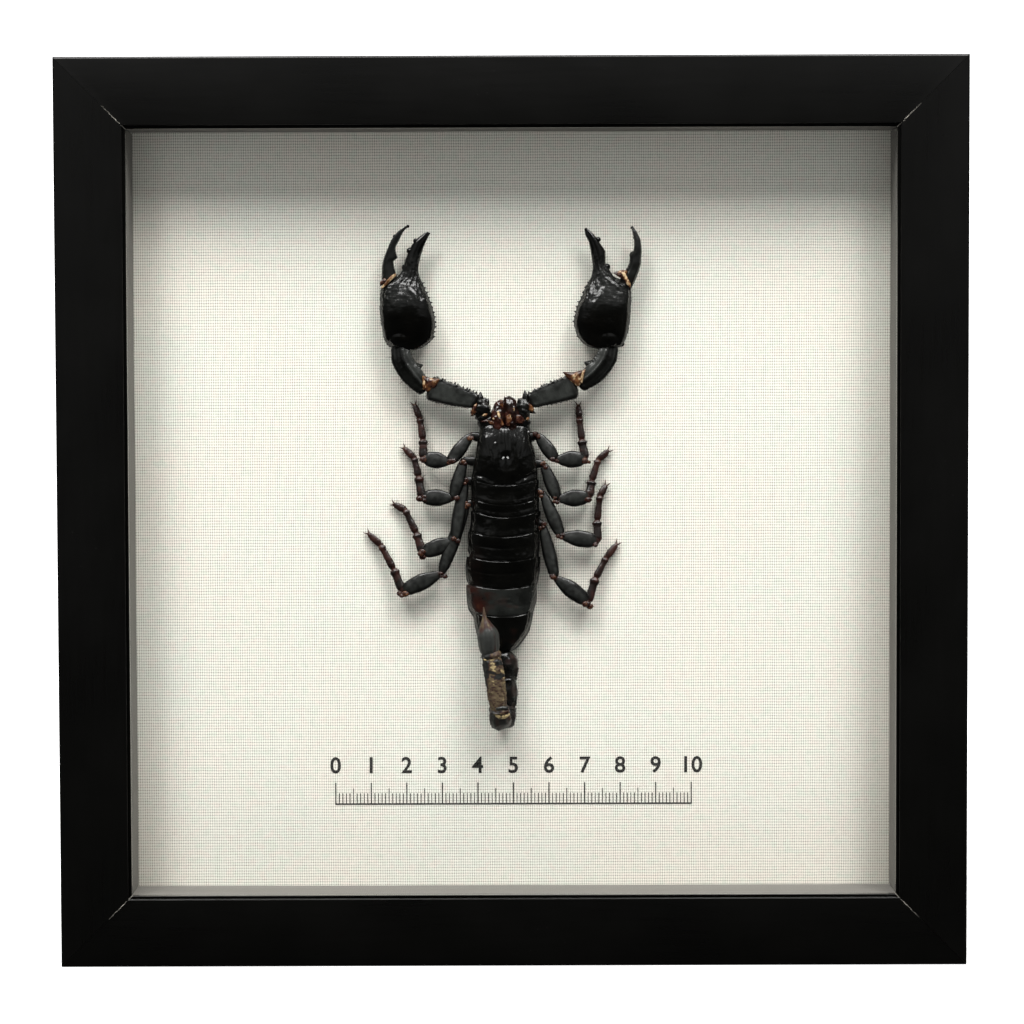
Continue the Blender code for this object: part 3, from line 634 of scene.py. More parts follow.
def build_spacer(name, finish):
    """One lined strip between glass and cloth."""
    low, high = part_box(name)
    flat = high.x - low.x > high.z - low.z
    soft = 0.0004
    wide = (high.z - low.z) if flat else (high.x - low.x)
    deep = high.y - low.y
    corners = [(0, 0, soft), (wide, 0, soft), (wide, deep, soft), (0, deep, soft)]
    outline = rounded_outline(corners, steps=4)
    length = (high.x - low.x) if flat else (high.z - low.z)
    rows = np.linspace(0.0, 1.0, 25)
    grid = np.zeros((len(rows), len(outline), 3))
    cloth = np.zeros_like(grid)
    for column, (across, depth) in enumerate(outline):
        for row, share in enumerate(rows):
            bow = 0.00012 * sin(share * 17.0) * sin(share * pi)
            along = share * length
            if flat:
                grid[row, column] = (low.x + along, low.y + depth, low.z + across + bow * 0.3)
            else:
                grid[row, column] = (low.x + across + bow * 0.3, low.y + depth, low.z + length - along)
            cloth[row, column] = (along, across + depth, 0.0)
    skin = Skin()
    skin.add_grid(grid, cloth=cloth)
    return skin.build(name + "_strip", finish, "linen", [name], sharp=50)


def figure_mesh(text, height):
    """Outline of a printed figure as a thin closed mesh, centred, in metres."""
    curve = bpy.data.curves.new("figure", "FONT")
    curve.body = text
    curve.align_x = "CENTER"
    curve.size = height * 1.38
    curve.offset = height * 0.022
    curve.extrude = 0.00002
    curve.resolution_u = 4
    holder = bpy.data.objects.new("figure", curve)
    bpy.context.scene.collection.objects.link(holder)
    bpy.context.view_layer.update()
    drawn = holder.evaluated_get(bpy.context.evaluated_depsgraph_get())
    mesh = bpy.data.meshes.new_from_object(drawn)
    points = np.array([vertex.co for vertex in mesh.vertices])
    faces = [list(polygon.vertices) for polygon in mesh.polygons]
    bpy.data.objects.remove(holder)
    bpy.data.curves.remove(curve)
    bpy.data.meshes.remove(mesh)
    return points, faces


# The printed scale, in metres from the frame's middle: feet of figures and ticks, and the line under them.
FIGURE_FOOT = -0.0738
TICK_FOOT = -0.0824
LINE_LOW = -0.0828
LINE_HALF = 0.05016
# Height and half width of a tick at each centimetre, half centimetre and millimetre.
TICKS = ((10, 0.0058, 0.00016), (5, 0.0042, 0.00011), (1, 0.0028, 0.00011))


def build_scale(finish):
    """A printed ten-centimetre scale: figures over a line of ticks."""
    sizes = linen_sizes()
    skin = Skin()
    ink_y = LINEN_Y - 0.00006

    def put(points, faces):
        """Print flat points, given as x and z from the frame's middle, just in front of the cloth."""
        cloth = points.copy()
        cloth[:, 1] = points[:, 2]
        cloth[:, 2] = 0.0
        start = skin.add_points(points + np.array([0.0, ink_y, MIDDLE_Z]), {"cloth": cloth})
        skin.faces += [[start + index for index in face] for face in faces]

    def bar(left, right, low, high):
        thin = 0.00003
        corners = [(left, low), (right, low), (right, high), (left, high)]
        points = np.array([(x, y, z) for y in (-thin, thin) for x, z in corners])
        put(points, [(0, 1, 2, 3), (7, 6, 5, 4), (0, 4, 5, 1), (1, 5, 6, 2), (2, 6, 7, 3), (3, 7, 4, 0)])

    for number in range(11):
        across = (number - 5) * 10 * MM
        points, faces = figure_mesh(str(number), sizes.figure_height)
        placed = np.stack([points[:, 0] + across, -points[:, 2], points[:, 1] + FIGURE_FOOT], -1)
        put(placed, faces)
    for tick in range(101):
        across = (tick - 50) * MM
        tall, half = next((tall, half) for every, tall, half in TICKS if tick % every == 0)
        bar(across - half, across + half, TICK_FOOT, TICK_FOOT + tall)
    bar(-LINE_HALF, LINE_HALF, LINE_LOW, TICK_FOOT)
    return skin.build("scale_print", finish, "linen", sharp=30)


class SpecimenSizes(bpy.types.PropertyGroup):
    """The dried animal's relief and colours."""

    hair_length: FloatProperty(
        name="Hair length", description="Mean length of the hairs on legs and arms", default=0.0014,
        unit="LENGTH", precision=4)
    shell: FloatVectorProperty(
        name="Shell", description="Colour of the black shell", default=(0.0014, 0.0014, 0.0012),
        subtype="COLOR", size=3)
    film: FloatVectorProperty(
        name="Film", description="Colour of the grey film on limbs and claws",
        default=(0.029, 0.031, 0.0285), subtype="COLOR", size=3)
    brown: FloatVectorProperty(
        name="Brown", description="Colour of the thin brown shell at the joints",
        default=(0.031, 0.0090, 0.0062), subtype="COLOR", size=3)
    amber: FloatVectorProperty(
        name="Amber", description="Colour of the amber skin between the pieces",
        default=(0.125, 0.048, 0.014), subtype="COLOR", size=3)
    cream: FloatVectorProperty(
        name="Cream", description="Colour of the dried pale skin", default=(0.52, 0.38, 0.22),
        subtype="COLOR", size=3)


def specimen_sizes():
    return bpy.context.scene.box_specimen


def shell_finish(name, polish=0.24, grain=1.0, amber=None, cream=None):
    """Black shell. The mark "hide" holds its share of brown to cream, its grey film and its dullness."""
    sizes = specimen_sizes()
    amber = amber or sizes.amber
    cream = cream or sizes.cream
    finish = Finish(name)
    place = finish.object_place()
    brown, film, dull = finish.parts(finish.mark("hide")[1])
    cloud = finish.noise(place, 420.0, detail=3.0)
    fine = finish.noise(place, 2600.0, detail=3.0)
    pits = finish.cells(place, 2300.0)
    smear = finish.noise(place, 150.0, detail=4.0, roughness=0.6)
    stain = brown + (cloud - 0.5) * 0.35 * brown.rising(0.02, 0.25)
    colour = finish.blend(smear.rising(0.35, 0.75) * 0.5, sizes.shell, (0.0030, 0.0027, 0.0022))
    colour = finish.blend(film * (0.35 + smear * 0.9 + fine * 0.4), colour, sizes.film)
    colour = finish.blend(stain.rising(0.05, 0.40), colour, sizes.brown)
    colour = finish.blend(stain.rising(0.38, 0.72), colour, amber)
    colour = finish.blend(stain.rising(0.70, 0.95), colour, cream)
    crust = (fine * 0.6 + cloud * 0.4).rising(0.58, 0.72) * brown.rising(0.3, 0.6)
    colour = finish.blend(crust * 0.55, colour, (0.05, 0.03, 0.016))
    rough = polish + dull * 0.40 + (smear - 0.5) * 0.10 + brown.rising(0.2, 0.6) * 0.18
    height = fine * 0.5 + pits.rising(0.0, 0.5) * 0.35 + cloud * 0.5
    return finish.principled({
        "Base Color": colour,
        "Roughness": rough,
        "Specular IOR Level": 0.42,
        "Normal": finish.bump(height, 0.00006 * grain, 0.6),
    })


def through(at, values, wanted):
    """Values at wanted places on smooth curves through known ones, without overshoot."""
    at, values, wanted = (np.asarray(item, float) for item in (at, values, wanted))
    values = values.reshape(len(at), -1)
    steps = np.diff(at)[:, None]
    slopes = np.diff(values, axis=0) / steps
    bends = np.zeros_like(values)
    same = slopes[:-1] * slopes[1:] > 0
    joined = np.where(same, slopes[:-1] * slopes[1:], 0) / np.where(same, (slopes[:-1] + slopes[1:]) / 2, 1)
    bends[1:-1] = joined
    bends[0], bends[-1] = slopes[0], slopes[-1]
    part = np.clip(np.searchsorted(at, wanted) - 1, 0, len(at) - 2)
    width = steps[part]
    share = ((wanted - at[part])[:, None] / width)
    one, two = values[part], values[part + 1]
    out, into = bends[part] * width, bends[part + 1] * width
    squared, cubed = share ** 2, share ** 3
    return ((2 * cubed - 3 * squared + 1) * one + (cubed - 2 * squared + share) * out
            + (3 * squared - 2 * cubed) * two + (cubed - squared) * into)


def to_frame(points):
    """Millimetres across, up and off the linen, to places in the frame."""
    across, up, off = np.moveaxis(np.asarray(points, float), -1, 0)
    return np.stack([across * MM, LINEN_Y - off * MM, MIDDLE_Z + up * MM], -1)


def unit(vectors):
    return vectors / np.maximum(np.linalg.norm(vectors, axis=-1, keepdims=True), 1e-9)


def outward(grid):
    """Normals of a closed net of points."""
    along = np.gradient(grid, axis=0)
    around = np.roll(grid, -1, axis=1) - np.roll(grid, 1, axis=1)
    return unit(np.cross(along, around))


LATTICE = 32


def soft_noise(points, size, seed):
    """Smooth noise from -1 to 1 with features about size millimetres wide."""
    lattice = np.random.default_rng(seed).random((LATTICE, LATTICE, LATTICE)) * 2 - 1
    places = np.asarray(points, float) / size
    base = np.floor(places).astype(int)
    share = places - base
    share = share * share * (3 - 2 * share)
    total = np.zeros(places.shape[:-1])
    for corner in np.ndindex(2, 2, 2):
        index = (base + np.array(corner)) % LATTICE
        weight = np.prod(np.where(np.array(corner) == 1, share, 1 - share), axis=-1)
        total += lattice[index[..., 0], index[..., 1], index[..., 2]] * weight
    return total


def granules(points, size, seed, fill=1.0):
    """Round bumps from 0 to 1, about size millimetres apart; fill is the share of places that has one."""
    rng = np.random.default_rng(seed)
    jitter = rng.random((LATTICE, LATTICE, LATTICE, 3))
    kept = rng.random((LATTICE, LATTICE, LATTICE)) < fill
    places = np.asarray(points, float) / size
    base = np.floor(places).astype(int)
    nearest = np.full(places.shape[:-1], 9.0)
    for corner in np.ndindex(3, 3, 3):
        cell = base + np.array(corner) - 1
        index = cell % LATTICE
        centre = cell + jitter[index[..., 0], index[..., 1], index[..., 2]]
        distance = np.linalg.norm(places - centre, axis=-1)
        distance = np.where(kept[index[..., 0], index[..., 1], index[..., 2]], distance, 9.0)
        nearest = np.minimum(nearest, distance)
    return np.clip(1 - (nearest / 0.55) ** 2, 0, 1)


def line_distance(across, up, line):
    """Distance in the plan, in millimetres, to a line of (across, up) places."""
    best = np.full(np.shape(across), 1e3)
    for (x0, y0), (x1, y1) in zip(line, line[1:]):
        dx, dy = x1 - x0, y1 - y0
        share = np.clip(((across - x0) * dx + (up - y0) * dy) / (dx * dx + dy * dy), 0, 1)
        best = np.minimum(best, np.hypot(across - x0 - share * dx, up - y0 - share * dy))
    return best


def crest(distance, width):
    """A soft crest, 1 on the line and 0 away from it."""
    return np.exp(-(distance / width) ** 2)


def mound(value, low, high):
    """0 below low, 1 above high, with a smooth rise between."""
    share = np.clip((np.asarray(value, float) - low) / (high - low), 0, 1)
    return share * share * (3 - 2 * share)


# Below this sideways share a limb counts as standing straight off the linen.
STEEP = 0.35
OFF_LINEN = np.array([0.0, 0.0, 1.0])
ACROSS = np.array([1.0, 0.0, 0.0])


def powered(wave, power):
    """A sine or cosine raised to a power with its sign kept; a power below 1 makes a round squarer."""
    return np.sign(wave) * np.abs(wave) ** power


def beside(way):
    """The two directions square to a way: one along the linen, then the other."""
    side = np.cross(way, OFF_LINEN)
    side = unit(side) if np.linalg.norm(side) > 0.1 else ACROSS
    return side, np.cross(side, way)


def rings(centres, side, rise, widths, count):
    """A net of round rings about centres, with a width for each and a number of points."""
    turns = np.linspace(0, 2 * pi, count, endpoint=False)
    return (centres[:, None] + side * (widths[:, None] * np.cos(turns))[..., None]
            + rise * (widths[:, None] * np.sin(turns))[..., None])


def sweep(stations, rows, columns, full=(1.0, 1.0), overhang=0.35):
    """A limb piece through stations of place, half width and half height, domed at both ends.

    Gives the net of points, the share along it for each row and the turn round it for each column.
    """
    stations = np.asarray(stations, float)
    lengths = np.linalg.norm(np.diff(stations[:, :3], axis=0), axis=1)
    at = np.concatenate([[0.0], np.cumsum(lengths)])
    shares = np.linspace(0.0, 1.0, rows)
    line = through(at / at[-1], stations, shares)
    way = unit(np.gradient(line[:, :3], axis=0))
    domes = np.array([1.32, 1.1, 0.8, 0.45])

    def domed(end, outward_way, turn):
        place = end[:3] + outward_way * end[3] * overhang * sin(turn)
        return np.concatenate([place, end[3:5] * cos(turn)])

    first = [domed(line[0], -way[0], turn) for turn in domes]
    last = [domed(line[-1], way[-1], turn) for turn in domes[::-1]]
    line = np.concatenate([first, line[:, :5], last])
    way = np.concatenate([np.repeat(way[:1], 4, 0), way, np.repeat(way[-1:], 4, 0)])
    shares = np.concatenate([[0.0] * 4, shares, [1.0] * 4])
    side = np.cross(way, OFF_LINEN)
    flat = np.linalg.norm(side, axis=1, keepdims=True) > STEEP
    side = np.where(flat, unit(side), ACROSS)
    rise = unit(np.cross(side, way))
    turns = np.linspace(0, 2 * pi, columns, endpoint=False)
    out, up = powered(np.cos(turns), full[0]), powered(np.sin(turns), full[1])
    grid = (line[:, None, :3] + side[:, None] * (line[:, 3:4] * out)[..., None]
            + rise[:, None] * (line[:, 4:5] * up)[..., None])
    return grid, shares[:, None] + 0 * turns, turns[None] + 0 * shares[:, None]


def keel(turns, degrees, width):
    """A lengthwise ridge at a turn round the piece."""
    off = np.degrees(np.angle(np.exp(1j * (turns - radians(degrees)))))
    return np.exp(-(off / width) ** 2)


def add_piece(skin, grid, brown=0.0, film=0.0, dull=0.0):
    """Add a net given in the specimen's millimetres, with the shell's mark for its points."""
    mark = np.stack([np.broadcast_to(item, grid.shape[:2]) for item in (brown, film, dull)], -1)
    skin.add_grid(to_frame(grid), hide=mark)


def add_spike(skin, foot, way, height, radius, sides=7, brown=0.0, bend=0.0, film=0.0):
    """A tapering spike that stands on the shell, in millimetres, with a bend towards the linen."""
    foot, way = np.asarray(foot, float), unit(np.asarray(way, float))
    side, rise = beside(way)
    shares = np.array([-0.35, 0.0, 0.3, 0.6, 0.85, 1.0])
    widths = radius * np.array([1.1, 1.0, 0.78, 0.48, 0.24, 0.06])
    centres = foot + way * (height * shares)[:, None] - rise * (bend * height * shares ** 2)[:, None]
    add_piece(skin, rings(centres, side, rise, widths, sides), brown, film, 0.2)


# The specimen's places: millimetres across and up from the middle of the frame, and off the linen.

# Leg joints from the hip to the foot: across and up.
LEGS = {
    "left_1": ((-7.5, 20.0), (-11.5, 21.2), (-17.5, 13.7), (-24.8, 14.8), (-24.9, 19.8), (-25.8, 25.8),
        (-27.3, 29.7)),
    "left_2": ((-8.5, 13.5), (-13.5, 14.3), (-16.5, 3.7), (-25.3, 3.8), (-26.2, 9.5), (-27.4, 14.7),
        (-30.3, 17.6)),
    "left_3": ((-8.5, 8.0), (-13.2, 8.6), (-16.2, -8.2), (-25.2, -11.6), (-26.8, -6.4), (-30.0, 0.2),
        (-33.3, 1.9)),
    "left_4": ((-8.5, 2.0), (-12.6, 2.2), (-19.9, -17.3), (-30.9, -22.3), (-33.2, -16.4), (-36.8, -9.7),
        (-40.5, -6.2)),
    "right_1": ((3.5, 20.0), (7.0, 21.2), (12.1, 14.3), (20.3, 14.4), (19.4, 19.6), (18.7, 25.7),
        (18.5, 29.4)),
    "right_2": ((4.0, 13.2), (8.6, 13.2), (12.6, 3.3), (21.4, 3.8), (22.1, 8.2), (23.9, 14.0),
        (26.9, 16.7)),
    "right_3": ((4.5, 6.0), (8.5, 4.9), (13.5, -7.0), (23.7, -8.5), (23.6, -3.0), (24.4, 3.9), (26.2, 7.1)),
    "right_4": ((4.5, -2.0), (8.3, -3.8), (11.8, -18.6), (21.0, -25.6), (23.1, -19.0), (26.1, -13.4),
        (29.2, -9.4)),
}
# How far each joint stands off the linen.
LEG_LIFTS = (3.2, 3.6, 4.4, 3.8, 2.8, 1.8, 1.0)
# Leg pieces from the hip: half width, half height.
LEG_PIECES = ((2.0, 1.7), (1.9, 1.4), (2.35, 1.5), (1.25, 1.0), (1.0, 0.85), (0.9, 0.7))

# Arms. Limb pieces and the knob: across, up and off the linen, then half width and half height.
# Spikes: foot, tip and radius. Skin: outline, lift, dome and share of brown to cream.
# Lobes: across, up and radius.
# Hand and finger: level sections of up, left edge, right edge and half thickness, all at one lift.
ARMS = {
    "left": {
        "coxa": ((-5.2, 20.5, 3.6, 2.4, 2.2), (-7.3, 25.4, 3.8, 2.7, 2.4)),
        "trochanter": ((-7.3, 24.6, 3.8, 1.7, 1.9), (-8.0, 26.6, 4.2, 2.2, 2.4), (-8.4, 28.8, 4.4, 2.4, 2.6),
                       (-8.6, 31.0, 4.3, 1.7, 2.0)),
        "shoulder_spikes": (((-8.9, 31.4, 4.9), (-8.8, 33.2, 5.1), 1.05), ((-10.2, 27.6, 4.4),
            (-11.5, 26.5, 4.4), 0.8), ((-7.0, 30.4, 5.0), (-6.6, 31.5, 5.1), 0.75)),
        "shoulder_skin": ((((-9.7, 30.2), (-10.5, 29.9), (-11.7, 27.6), (-11.2, 26.5), (-9.9, 27.6)),
            5.9, 0.7, 0.46), (((-8.5, 26.5), (-7.7, 27.3), (-6.8, 27.2), (-7.2, 26.5)), 6.5, 0.4, 0.80),
            (((-9.0, 25.1), (-7.0, 25.7), (-6.4, 25.1), (-8.4, 24.6)), 5.9, 0.5, 0.50)),
        "elbow_skin": ((((-24.9, 37.9), (-22.6, 37.2), (-19.9, 36.9), (-21.3, 34.4), (-23.7, 33.2),
            (-24.9, 34.6)), 6.9, 0.9, 0.55), (((-25.0, 37.9), (-24.2, 37.3), (-23.9, 34.4), (-24.7, 33.8)),
            7.3, 0.6, 0.72)),
        "claw_skin": ((((-36.5, 61.9), (-35.7, 62.0), (-32.0, 65.5), (-32.1, 66.2), (-33.6, 65.4)),
            7.4, 0.25, 0.84), (((-36.6, 63.7), (-36.5, 62.5), (-34.6, 64.3), (-35.3, 64.9)), 6.8, 0.3,
            0.38)),
        "femur": ((-10.3, 30.7, 4.4, 2.1, 2.0), (-16.5, 32.4, 4.6, 3.0, 2.3),
            (-22.4, 34.2, 4.8, 3.4, 2.5)),
        "patella": ((-24.4, 34.2, 4.8, 2.3, 2.3), (-28.3, 38.6, 5.0, 3.1, 2.7),
            (-30.6, 42.6, 5.0, 3.0, 2.6), (-31.2, 46.2, 4.8, 2.4, 2.2)),
        "spur": ((-27.0, 39.9, 5.0), (-24.8, 40.8, 5.3)),
        "knob": (-34.2, 47.0, 4.9),
        "lobes": ((-33.2, 71.4, 1.15), (-32.3, 76.3, 0.75), (-28.2, 72.4, 1.0), (-29.6, 67.8, 1.0),
            (-26.7, 75.2, 0.7)),
        "hand": ((45.1, -31.5, -26.8, 2.4), (46.0, -34.2, -24.3, 3.0), (48.6, -35.6, -21.9, 3.7),
                 (52.5, -36.3, -21.4, 4.1), (56.6, -36.6, -22.2, 4.2), (60.2, -36.5, -23.5, 3.7),
                 (62.6, -36.1, -24.6, 3.0), (65.2, -31.8, -25.6, 2.1), (67.4, -30.3, -26.0, 1.8),
                 (70.0, -29.5, -25.5, 1.6), (72.5, -28.5, -24.8, 1.4), (75.2, -26.8, -23.7, 1.1),
                 (77.4, -24.2, -22.5, 0.6)),
        "finger": ((61.6, -36.1, -33.0, 1.7), (64.6, -36.2, -31.7, 2.0), (67.2, -36.1, -32.4, 1.8),
                   (69.4, -35.8, -32.8, 1.7), (70.6, -35.4, -31.8, 1.6), (73.0, -34.5, -32.2, 1.5),
                   (75.6, -33.3, -31.1, 1.2), (77.8, -31.6, -29.9, 0.9), (79.4, -29.2, -28.4, 0.4)),
    },
    "right": {
        "coxa": ((1.2, 20.5, 3.6, 2.4, 2.2), (2.8, 25.4, 3.8, 2.5, 2.4)),
        "trochanter": ((2.4, 24.6, 3.8, 1.7, 1.9), (2.9, 26.6, 4.2, 2.1, 2.4), (3.2, 28.8, 4.4, 2.2, 2.6),
                       (3.4, 31.0, 4.3, 1.7, 2.0)),
        "shoulder_spikes": (((3.7, 31.6, 4.9), (3.5, 33.7, 5.1), 1.0), ((5.1, 28.0, 4.4),
            (6.5, 27.2, 4.4), 0.8), ((2.0, 30.4, 5.0), (1.7, 31.4, 5.1), 0.75)),
        "shoulder_skin": ((((4.2, 30.4), (5.2, 29.8), (6.2, 28.4), (5.7, 27.4), (4.5, 28.2)), 5.9,
            0.7, 0.44), (((3.8, 25.5), (4.2, 26.3), (4.9, 26.0), (4.4, 25.2)), 6.3, 0.4, 0.74),
            (((0.8, 24.4), (1.0, 26.6), (3.0, 26.9), (3.6, 25.2), (2.4, 24.2)), 6.2, 0.6, 0.44)),
        "elbow_skin": ((((13.9, 38.8), (17.0, 38.6), (20.2, 39.4), (19.6, 36.4), (18.4, 34.4),
            (15.6, 36.6)), 6.9, 0.9, 0.55), (((20.4, 39.6), (19.5, 39.0), (18.6, 36.2), (19.4, 35.4)), 7.3,
            0.6, 0.85)),
        "claw_skin": ((((30.3, 66.3), (31.3, 66.2), (33.0, 62.8), (32.8, 61.9), (31.8, 62.9)), 7.5,
            0.25, 0.84), (((28.0, 66.0), (30.4, 67.0), (32.0, 66.7), (31.6, 64.0), (30.2, 64.6)), 6.9, 0.3,
            0.46)),
        "femur": ((5.2, 30.8, 4.4, 2.1, 2.0), (11.2, 32.8, 4.6, 3.0, 2.3),
            (16.9, 34.6, 4.8, 3.4, 2.5)),
        "patella": ((19.0, 35.3, 4.8, 2.3, 2.3), (23.4, 38.8, 5.0, 3.0, 2.7),
            (26.1, 42.6, 5.0, 3.0, 2.6), (27.2, 46.2, 4.8, 2.4, 2.2)),
        "spur": ((22.3, 40.4, 5.0), (20.0, 41.4, 5.3)),
        "knob": (30.4, 46.5, 4.9),
        "lobes": ((33.7, 71.0, 1.1), (34.4, 75.9, 0.75), (25.1, 71.8, 1.0), (26.4, 67.8, 1.0),
            (24.0, 75.4, 0.75)),
        "hand": ((45.1, 24.0, 28.0, 2.4), (46.1, 20.8, 30.6, 3.0), (48.6, 18.4, 31.9, 3.7),
                 (52.5, 17.4, 32.6, 4.1), (56.4, 18.1, 32.9, 4.2), (59.5, 19.5, 33.1, 3.7),
                 (62.2, 20.6, 33.0, 3.0), (65.2, 22.1, 28.4, 2.1), (67.2, 22.4, 27.0, 1.8),
                 (69.2, 22.3, 26.0, 1.6), (71.6, 22.0, 26.0, 1.4), (74.6, 21.4, 24.4, 1.1),
                 (76.8, 20.4, 22.8, 0.8), (78.4, 20.2, 21.1, 0.35)),
        "finger": ((61.0, 30.4, 33.0, 1.7), (64.2, 30.0, 34.4, 2.0), (66.8, 31.4, 35.4, 1.8),
                   (69.0, 32.6, 35.9, 1.7), (70.7, 32.7, 36.0, 1.6), (72.4, 33.8, 36.1, 1.5),
                   (75.0, 33.9, 35.8, 1.2), (77.0, 33.6, 35.0, 0.9), (78.8, 33.1, 33.8, 0.4)),
    },
}
HAND_LIFT = 4.7

# Mouthparts: the two ends of each with half width and half height.
MOUTHPARTS = (
    ((-3.8, 22.0, 5.0, 1.8, 1.8), (-3.9, 26.2, 4.9, 2.1, 2.2), (-3.4, 29.2, 4.6, 1.7, 1.7),
     (-2.8, 30.6, 4.4, 0.8, 0.8)),
    ((-0.2, 22.0, 5.0, 1.8, 1.8), (-0.2, 26.6, 4.9, 2.2, 2.3), (-0.8, 30.2, 4.6, 1.9, 1.8),
     (-1.4, 31.6, 4.4, 0.9, 0.9)),
)

# Dried skin between the mouthparts, and three near-cream patches that are painted glints: outline, lift, dome
# and share of brown to cream.
MOUTH_SKIN_AND_GLINTS = (
    (((-3.5, 30.9), (-2.7, 31.0), (-2.4, 29.0), (-2.7, 28.0), (-3.4, 28.6)), 6.3, 0.30, 0.42),
    (((-4.0, 26.4), (-3.4, 26.6), (-2.3, 24.2), (-2.5, 23.5), (-3.2, 23.9)), 7.0, 0.30, 0.44),
    (((-1.7, 26.6), (-0.6, 27.2), (-0.1, 25.4), (-0.9, 23.6), (-1.7, 23.9)), 7.2, 0.30, 0.44),
    (((0.5, 26.8), (2.2, 26.9), (3.4, 25.8), (2.9, 24.5), (0.9, 24.3)), 6.7, 0.35, 0.42),
    # Painted glints: these two near-cream patches stand for highlights on the left biting piece.
    (((-4.3, 27.8), (-3.7, 27.9), (-3.2, 26.6), (-3.4, 25.7), (-4.0, 26.4)), 7.1, 0.25, 0.98),
    (((-5.4, 26.2), (-4.5, 25.9), (-4.5, 25.4), (-5.5, 25.6)), 6.7, 0.25, 0.90),
    (((-5.9, 27.9), (-5.0, 28.5), (-4.9, 27.7), (-5.7, 27.0)), 6.2, 0.25, 0.40),
    # Painted glint: this near-cream patch stands for a highlight on the right biting piece.
    (((0.3, 28.8), (0.6, 28.9), (0.7, 28.0), (0.4, 27.8)), 7.0, 0.2, 0.90),
    (((-6.6, 25.3), (-4.4, 25.0), (-3.4, 24.0), (-4.4, 23.9), (-6.4, 24.4)), 6.3, 0.30, 0.30),
)

# Tail pieces from the body to the sting, first back along the linen, then folded forward on top of itself.
TAIL = (
    ((-3.5, -40.4, 3.8, 3.2, 3.0), (-2.6, -43.2, 3.8, 4.1, 3.3), (-2.5, -47.2, 3.7, 3.5, 3.0)),
    ((-2.4, -46.6, 3.7, 3.1, 2.8), (-2.5, -51.0, 3.7, 3.7, 3.2), (-2.7, -55.6, 3.8, 3.3, 3.0)),
    ((-2.7, -54.6, 3.8, 3.0, 2.9), (-2.6, -57.0, 4.3, 3.4, 3.1), (-2.9, -58.6, 6.0, 3.0, 2.6)),
    ((-3.3, -58.7, 6.2, 2.8, 2.4), (-3.7, -57.6, 8.4, 3.0, 2.6), (-4.0, -54.6, 9.9, 2.6, 2.3)),
    ((-4.0, -55.2, 9.9, 2.2, 2.0), (-4.6, -50.0, 10.1, 2.6, 2.3), (-5.3, -44.5, 10.2, 2.8, 2.4),
     (-6.1, -39.2, 10.4, 2.6, 2.2)),
    ((-6.3, -40.2, 10.5, 1.7, 1.6), (-6.6, -37.8, 10.7, 2.8, 2.4), (-6.9, -34.4, 10.8, 3.0, 2.6),
     (-7.6, -30.6, 10.9, 1.4, 1.5), (-7.9, -29.0, 11.1, 0.6, 0.7), (-8.1, -26.4, 11.0, 0.2, 0.25)),
)

# Edges of the trunk as seen from the front: up, across.
LEFT_EDGE = ((25.4, -6.4), (24.9, -7.9), (23.6, -8.9), (19.6, -9.7), (15.2, -10.4), (10.8, -11.0),
    (8.4, -11.4), (2.6, -11.5), (0.6, -11.2), (-1.9, -11.3), (-6.1, -12.1), (-8.3, -12.6), (-11.1, -12.6),
    (-12.6, -11.9), (-14.7, -12.9), (-16.7, -13.2), (-19.2, -13.0), (-20.6, -12.4), (-22.2, -12.8),
    (-24.8, -12.9), (-27.6, -12.5), (-28.9, -11.6), (-30.1, -10.9), (-32.1, -10.7), (-36.0, -9.8),
    (-38.0, -9.2), (-38.9, -8.6))
RIGHT_EDGE = ((25.4, 2.4), (24.9, 3.8), (23.6, 4.8), (19.6, 5.4), (15.2, 6.4), (10.8, 7.0), (8.4, 7.1),
    (-2.0, 7.5), (-5.4, 7.3), (-10.3, 7.6), (-12.4, 7.3), (-16.8, 7.6), (-20.3, 6.9), (-21.4, 6.7),
    (-24.9, 6.7), (-28.2, 5.8), (-29.2, 5.3), (-31.3, 5.2), (-33.8, 4.6), (-36.1, 3.1), (-38.0, 1.6),
    (-38.9, 0.6))
BACK_TOP = ((25.4, 4.2), (24.9, 5.6), (23.6, 6.8), (19.6, 7.8), (15.2, 8.5), (10.8, 8.5), (7.4, 8.1),
    (1.7, 8.4), (-1.9, 8.7), (-6.8, 9.0), (-13.7, 9.2), (-21.2, 9.0), (-29.0, 8.3), (-34.0, 7.6),
    (-38.9, 6.4))
# Middle of each plate's rear edge, and how much further up the edge's two ends lie.
REAR_EDGES = ((6.9, 1.8), (1.4, 2.0), (-2.0, 2.0), (-7.4, 1.6), (-14.2, 1.5), (-21.8, 1.3), (-29.6, 1.2))
TRUNK_FRONT = 25.4
TRUNK_END = -38.9
TRUNK_COLUMNS = 208
ROW_GAP = 0.27
# Numbers of the plate with the grey film and of the last one, counted from the carapace as 0.
FILMED_PLATE = 6
LAST_PLATE = 7
EYE_PLACE = (-1.9, 15.0)
# Eye lenses: place, the way each faces, radius and radius of the bulge.
LENSES = (
    ((EYE_PLACE[0] - 0.64, EYE_PLACE[1], 9.0), (-0.18, 0.48, 0.86), 0.42, 2.2),
    ((EYE_PLACE[0] + 0.64, EYE_PLACE[1], 9.0), (0.18, 0.48, 0.86), 0.42, 2.2),
    ((-4.8, 19.2, 7.80), (-0.18, 0.48, 0.86), 0.30, 1.6),
    ((4.5, 22.2, 6.5), (0.18, 0.48, 0.86), 0.24, 1.6),
    ((-8.0, 22.0, 5.6), (-0.18, 0.48, 0.86), 0.28, 1.6),
)
